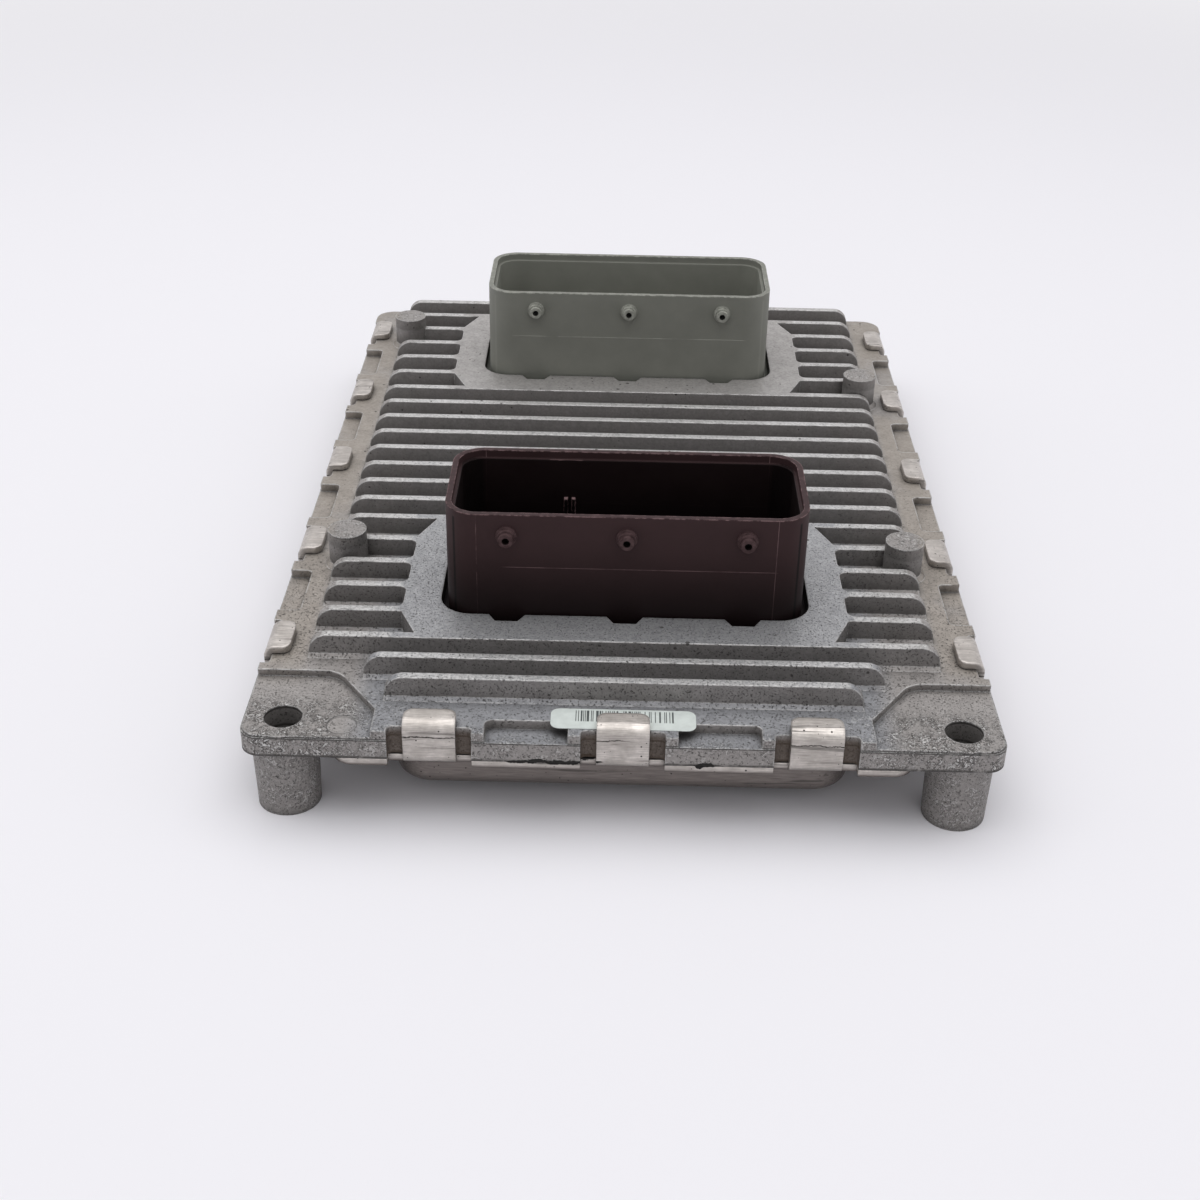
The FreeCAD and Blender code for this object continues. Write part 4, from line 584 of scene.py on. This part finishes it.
def plain_solid(name, first, second, spot, gloss_low, gloss_high, metallic=0.0):
    """A finish of two close tones in soft spots, with a bump of the same pattern."""
    material, tree, place = new_finish(name)
    spots = add(tree, "ShaderNodeTexNoise", {"Vector": place, "Scale": 1 / spot, "Detail": 4.0})
    tone = add(tree, "ShaderNodeMix", {0: band(tree, spots, 0.35, 0.65), 6: first, 7: second}, 2,
               data_type="RGBA")
    gloss = add(tree, "ShaderNodeMapRange", {"Value": spots, "From Min": 0.35, "From Max": 0.65,
                                             "To Min": gloss_low, "To Max": gloss_high})
    soft = add(tree, "ShaderNodeBevel", {"Radius": 0.12 * MM}, samples=4)
    bump = add(tree, "ShaderNodeBump", {"Height": spots, "Distance": 0.03 * MM, "Strength": 0.7,
                                        "Normal": soft})
    close_finish(tree, base_color=tone, roughness=gloss, metallic=metallic, normal=bump)
    return material


def printed_film(colours, sizes):
    """Polyester film with printed bars.

    The film is smooth with a soft gloss, and its print is a field of upright bars of chance widths, worn in
    places.
    """
    material, tree, place = new_finish("printed_polyester_film")
    x, y, _ = add(tree, "ShaderNodeSeparateXYZ", {0: place}).node.outputs
    column = add(tree, "ShaderNodeMath", {0: x, 1: sizes.bar}, operation="DIVIDE")
    column = add(tree, "ShaderNodeMath", {0: column}, operation="FLOOR")
    chance = add(tree, "ShaderNodeTexWhiteNoise", {"W": column}, "Value", noise_dimensions="1D")
    bar = add(tree, "ShaderNodeMath", {0: chance, 1: 0.56}, operation="GREATER_THAN")
    wear = add(tree, "ShaderNodeTexNoise", {"Vector": place, "Scale": 1 / (1.4 * MM), "Detail": 4.0})
    printed = stripe(tree, x, PRINT_MIDDLE, PRINT_REACH, PRINT_REACH - 0.1 * MM, bar,
                     band(tree, y, PRINT_FRONT, PRINT_FRONT + 0.2 * MM),
                     band(tree, y, PRINT_REAR, PRINT_REAR - 0.2 * MM), band(tree, wear, 0.2, 0.36))
    shade = add(tree, "ShaderNodeMapRange", {"Value": wear, **NOISE_SPAN, "To Min": 0.9, "To Max": 1.05})
    tone = add(tree, "ShaderNodeVectorMath", {0: colours.label_film[:3], "Scale": shade}, operation="SCALE")
    tone = add(tree, "ShaderNodeMix", {0: printed, 6: tone, 7: colours.label_bars}, 2, data_type="RGBA")
    bump = add(tree, "ShaderNodeBump", {"Height": wear, "Distance": 0.02 * MM, "Strength": 0.6})
    close_finish(tree, base_color=tone, roughness=0.38, ior=1.5, normal=bump)
    return material


def solder_resist(colours):
    """Glass laminate under green solder resist: a glossy film, darker over bare laminate than over copper."""
    material, tree, place = new_finish("solder_resist_on_laminate")
    cells = add(tree, "ShaderNodeTexVoronoi", {"Vector": place, "Scale": 1 / (5 * MM)}, "Distance",
                distance="MANHATTAN")
    rings = add(tree, "ShaderNodeMath", {0: cells, 1: 0.22}, operation="PINGPONG")
    trace = band(tree, rings, 0.1, 0.12)
    weave = add(tree, "ShaderNodeTexWave", {"Vector": place, "Scale": 1 / (3.4 * MM), "Distortion": 1.0})
    tone = add(tree, "ShaderNodeMix", {0: trace, 6: colours.laminate, 7: colours.copper}, 2,
               data_type="RGBA")
    relief = add(tree, "ShaderNodeMath", {0: weave, 1: 0.15, 2: trace}, operation="MULTIPLY_ADD")
    bump = add(tree, "ShaderNodeBump", {"Height": relief, "Distance": 0.03 * MM, "Strength": 0.8})
    gloss = add(tree, "ShaderNodeMapRange", {"Value": trace, "To Min": 0.35, "To Max": 0.28})
    close_finish(tree, base_color=tone, roughness=gloss, normal=bump)
    return material


def rays_of_kind(tree, first, *others):
    """1 for rays of the named kinds, 0 for all others."""
    seen = add(tree, "ShaderNodeLightPath", out=first)
    for other in others:
        seen = add(tree, "ShaderNodeMath", {0: seen, 1: add(tree, "ShaderNodeLightPath", out=other)},
                   operation="MAXIMUM")
    return seen


def paper_floor(colours):
    """Matt studio paper, smooth enough to show no grain, that runs into the backdrop far from the unit."""
    material, tree, place = new_finish("matt_studio_paper")
    paper = add(tree, "ShaderNodeBsdfPrincipled", {"Base Color": tuple(colours.floor), "Roughness": 0.9},
                "BSDF")
    away = add(tree, "ShaderNodeVectorMath", {0: place}, "Value", operation="LENGTH")
    far = band(tree, away, *FLOOR_FADE, rays_of_kind(tree, "Is Camera Ray", "Is Glossy Ray"))
    backdrop = add(tree, "ShaderNodeEmission", {"Color": linear(BACKDROP), "Strength": BACKDROP_LEVEL})
    blend = add(tree, "ShaderNodeMixShader", {0: far, 1: paper, 2: backdrop})
    add(tree, "ShaderNodeOutputMaterial", {"Surface": blend})
    return material


def studio_world(level):
    """The backdrop as the camera, mirrors and glass see it, which lights the unit at a level of its own."""
    world = bpy.data.worlds.new("studio")
    world.use_nodes = True
    tree = world.node_tree
    tree.nodes.clear()
    seen = rays_of_kind(tree, "Is Camera Ray", "Is Transmission Ray", "Is Glossy Ray")
    strength = add(tree, "ShaderNodeMapRange", {"Value": seen, "To Min": level, "To Max": BACKDROP_LEVEL})
    sky = add(tree, "ShaderNodeBackground", {"Color": linear(BACKDROP), "Strength": strength})
    add(tree, "ShaderNodeOutputWorld", {"Surface": sky})
    return world


def wear_finish(material, *names):
    """Gives CAD nodes one finish."""
    for name in names:
        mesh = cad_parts[name].data
        mesh.materials.clear()
        mesh.materials.append(material)


class CONTROLUNIT_OT_casting(bpy.types.Operator):
    """Finishes the finned housing as a bare die casting"""

    bl_idname = "control_unit.casting"
    bl_label = "Finish Casting"

    def execute(self, context):
        scene = context.scene
        wear_finish(die_cast_aluminium(scene.control_unit_colours, scene.control_unit_sizes),
                    "heat_sink_housing")
        return {"FINISHED"}


class CONTROLUNIT_OT_cover(bpy.types.Operator):
    """Finishes the folded cover as rolled sheet"""

    bl_idname = "control_unit.cover"
    bl_label = "Finish Cover"

    def execute(self, context):
        scene = context.scene
        wear_finish(rolled_aluminium(scene.control_unit_colours, scene.control_unit_sizes), "base_cover")
        return {"FINISHED"}


class CONTROLUNIT_OT_headers(bpy.types.Operator):
    """Finishes the two plug headers as moulded plastic"""

    bl_idname = "control_unit.headers"
    bl_label = "Finish Headers"

    def execute(self, context):
        colours = context.scene.control_unit_colours
        sizes = context.scene.control_unit_sizes
        brown = moulded_plastic("brown_glass_filled_polyester", colours.brown_body, colours.brown_pale_and_highlight,
                                BROWN_LOOK, FRONT_HEADER, sizes)
        grey = moulded_plastic("grey_glass_filled_polyester", colours.grey_body, colours.grey_pale_and_highlight,
                               GREY_LOOK, REAR_HEADER, sizes)
        wear_finish(brown, "front_header_shell")
        wear_finish(grey, "rear_header_shell")
        return {"FINISHED"}


class CONTROLUNIT_OT_contacts(bpy.types.Operator):
    """Finishes the contacts of the headers as tinned bronze"""

    bl_idname = "control_unit.contacts"
    bl_label = "Finish Contacts"

    def execute(self, context):
        colours = context.scene.control_unit_colours
        # Tin over bronze: soft grey shine that dulls in spots
        tin = plain_solid("tin_plated_bronze", colours.tin, linear("#8F8C86"), 0.8 * MM, 0.28, 0.42, 1.0)
        wear_finish(tin, "front_signal_pins", "front_power_blades", "rear_signal_pins", "rear_power_blades")
        return {"FINISHED"}


class CONTROLUNIT_OT_seals(bpy.types.Operator):
    """Finishes the seals"""

    bl_idname = "control_unit.seals"
    bl_label = "Finish Seals"

    def execute(self, context):
        colours = context.scene.control_unit_colours
        # Cured silicone: near black with a wet-looking skin
        silicone = plain_solid("cured_silicone_sealant", colours.sealant, linear("#241F1A"), 1.5 * MM,
                               0.3, 0.5)
        # Pressed rubber: black and dull
        rubber = plain_solid("pressed_rubber", colours.rubber, linear("#26262A"), 0.9 * MM, 0.6, 0.8)
        wear_finish(silicone, "perimeter_seal")
        wear_finish(rubber, "front_header_seal", "rear_header_seal")
        return {"FINISHED"}


class CONTROLUNIT_OT_label(bpy.types.Operator):
    """Finishes the label as printed film"""

    bl_idname = "control_unit.label"
    bl_label = "Finish Label"

    def execute(self, context):
        scene = context.scene
        wear_finish(printed_film(scene.control_unit_colours, scene.control_unit_sizes), "barcode_label")
        return {"FINISHED"}


class CONTROLUNIT_OT_electronics(bpy.types.Operator):
    """Finishes the circuit board and everything on it"""

    bl_idname = "control_unit.electronics"
    bl_label = "Finish Electronics"

    def execute(self, context):
        colours = context.scene.control_unit_colours
        wear_finish(solder_resist(colours), "circuit_board")
        # Epoxy moulding compound: charcoal with the fine matt of an eroded mould
        resin = plain_solid("epoxy_moulding_compound", colours.resin, linear("#26262A"), 0.5 * MM, 0.5, 0.65)
        wear_finish(resin, "microcontroller", "power_manager", "injector_drivers", "ignition_transistors",
                    "voltage_regulator", "pressure_sensor")
        # Zinc plate on steel: pale with a faint blue, evenly satin
        zinc = plain_solid("zinc_plated_steel", colours.steel, linear("#8C9194"), 1.2 * MM, 0.3, 0.45, 1.0)
        wear_finish(zinc, "board_screws")
        # Drawn cans: bright satin metal
        cans = plain_solid("drawn_tinned_can", colours.tin, linear("#A3A19B"), 2 * MM, 0.22, 0.34, 1.0)
        wear_finish(cans, "quartz_crystal", "bulk_capacitors")
        # Filled silicone: soft, matt and bluish
        pads = plain_solid("filled_silicone_pad", colours.pad_blue, linear("#7C8DA3"), 0.7 * MM, 0.75, 0.9)
        wear_finish(pads, "thermal_pads")
        # Sintered ferrite: dark grey, slightly glossy
        core = plain_solid("sintered_ferrite", colours.ferrite, linear("#3A383A"), 0.6 * MM, 0.4, 0.55)
        wear_finish(core, "power_inductor")
        # Fired ceramic: tan and smooth
        ceramic = plain_solid("fired_ceramic", colours.ceramic, linear("#7A5C41"), 0.4 * MM, 0.35, 0.5)
        wear_finish(ceramic, "ceramic_capacitors")
        return {"FINISHED"}


class CONTROLUNIT_OT_stage(bpy.types.Operator):
    """Sets up the floor, the lamps and the camera"""

    bl_idname = "control_unit.stage"
    bl_label = "Set Up Studio"

    def execute(self, context):
        scene = context.scene
        stage = scene.control_unit_stage
        self.lay_floor(scene)
        scene.world = studio_world(stage.world_level)
        self.hang_lamps(scene, stage)
        self.place_camera(scene, stage)
        scene.view_settings.view_transform = "Standard"
        return {"FINISHED"}

    def lay_floor(self, scene):
        """A wide disc of paper."""
        sheet = bmesh.new()
        bmesh.ops.create_circle(sheet, cap_ends=True, segments=64, radius=FLOOR_RADIUS)
        built = bpy.data.meshes.new("floor")
        sheet.to_mesh(built)
        sheet.free()
        built.materials.append(paper_floor(scene.control_unit_colours))
        floor = bpy.data.objects.new("floor", built)
        scene.collection.objects.link(floor)

    def hang_lamps(self, scene, stage):
        """A large lamp overhead and three weak ones in front and beside the unit."""
        lamps = (
            ("key", (-0.05, 0.03, 0.90), (0.0, 0.0, 0.02), 1.2, stage.key_power),
            ("fill", (0.15, -0.9, 0.55), (0.0, -0.05, 0.02), 0.7, stage.fill_power),
            ("left", (-0.85, 0.05, 0.45), (0.0, 0.0, 0.03), 0.8, stage.side_power),
            ("right", (0.85, 0.05, 0.45), (0.0, 0.0, 0.03), 0.8, stage.side_power),
        )
        for name, at, aim, width, power in lamps:
            lamp = bpy.data.lights.new(name, "AREA")
            lamp.shape = "SQUARE"
            lamp.size = width
            lamp.energy = power
            holder = bpy.data.objects.new(name, lamp)
            holder.location = at
            holder.rotation_euler = (Vector(aim) - Vector(at)).to_track_quat("-Z", "Y").to_euler()
            scene.collection.objects.link(holder)

    def place_camera(self, scene, stage):
        """The camera as it stood for the photo."""
        pitch, yaw, roll = stage.camera_pitch, stage.camera_yaw, stage.camera_roll
        ahead = Vector((math.sin(yaw) * math.cos(pitch), math.cos(yaw) * math.cos(pitch), -math.sin(pitch)))
        level_right = Vector((math.cos(yaw), -math.sin(yaw), 0.0))
        level_up = level_right.cross(ahead)
        right = level_right * math.cos(roll) + level_up * math.sin(roll)
        above = level_up * math.cos(roll) - level_right * math.sin(roll)
        eye = bpy.data.cameras.new("photo_camera")
        eye.lens = stage.camera_lens
        eye.sensor_width = SENSOR_WIDTH
        eye.shift_x, eye.shift_y = LENS_SHIFT
        eye.clip_start = 0.01
        camera = bpy.data.objects.new("photo_camera", eye)
        turn = Matrix((right, above, -ahead)).transposed().to_4x4()
        camera.matrix_world = Matrix.Translation(Vector(stage.camera_place)) @ turn
        scene.collection.objects.link(camera)
        scene.camera = camera


STEPS = (
    CONTROLUNIT_OT_stage, CONTROLUNIT_OT_casting, CONTROLUNIT_OT_cover, CONTROLUNIT_OT_headers,
    CONTROLUNIT_OT_contacts, CONTROLUNIT_OT_seals, CONTROLUNIT_OT_label, CONTROLUNIT_OT_electronics)


class CONTROLUNIT_PT_panel(bpy.types.Panel):
    """Lists the steps that dress the unit"""

    bl_idname = "CONTROLUNIT_PT_panel"
    bl_label = "Control Unit"
    bl_space_type = "VIEW_3D"
    bl_region_type = "UI"
    bl_category = "Control Unit"

    def draw(self, context):
        scene = context.scene
        for step in STEPS:
            self.layout.operator(step.bl_idname)
        for group in (scene.control_unit_colours, scene.control_unit_sizes, scene.control_unit_stage):
            box = self.layout.box()
            for key in group.bl_rna.properties.keys():
                if key not in {"rna_type", "name"}:
                    box.prop(group, key)


CLASSES = (ControlUnitColours, ControlUnitSizes, ControlUnitStage, *STEPS, CONTROLUNIT_PT_panel)


def register():
    for cls in CLASSES:
        bpy.utils.register_class(cls)
    bpy.types.Scene.control_unit_colours = bpy.props.PointerProperty(type=ControlUnitColours)
    bpy.types.Scene.control_unit_sizes = bpy.props.PointerProperty(type=ControlUnitSizes)
    bpy.types.Scene.control_unit_stage = bpy.props.PointerProperty(type=ControlUnitStage)


def unregister():
    del bpy.types.Scene.control_unit_stage
    del bpy.types.Scene.control_unit_sizes
    del bpy.types.Scene.control_unit_colours
    for cls in reversed(CLASSES):
        bpy.utils.unregister_class(cls)


def main():
    register()
    bpy.ops.control_unit.stage()
    bpy.ops.control_unit.casting()
    bpy.ops.control_unit.cover()
    bpy.ops.control_unit.headers()
    bpy.ops.control_unit.contacts()
    bpy.ops.control_unit.seals()
    bpy.ops.control_unit.label()
    bpy.ops.control_unit.electronics()


if __name__ == "__main__":
    main()
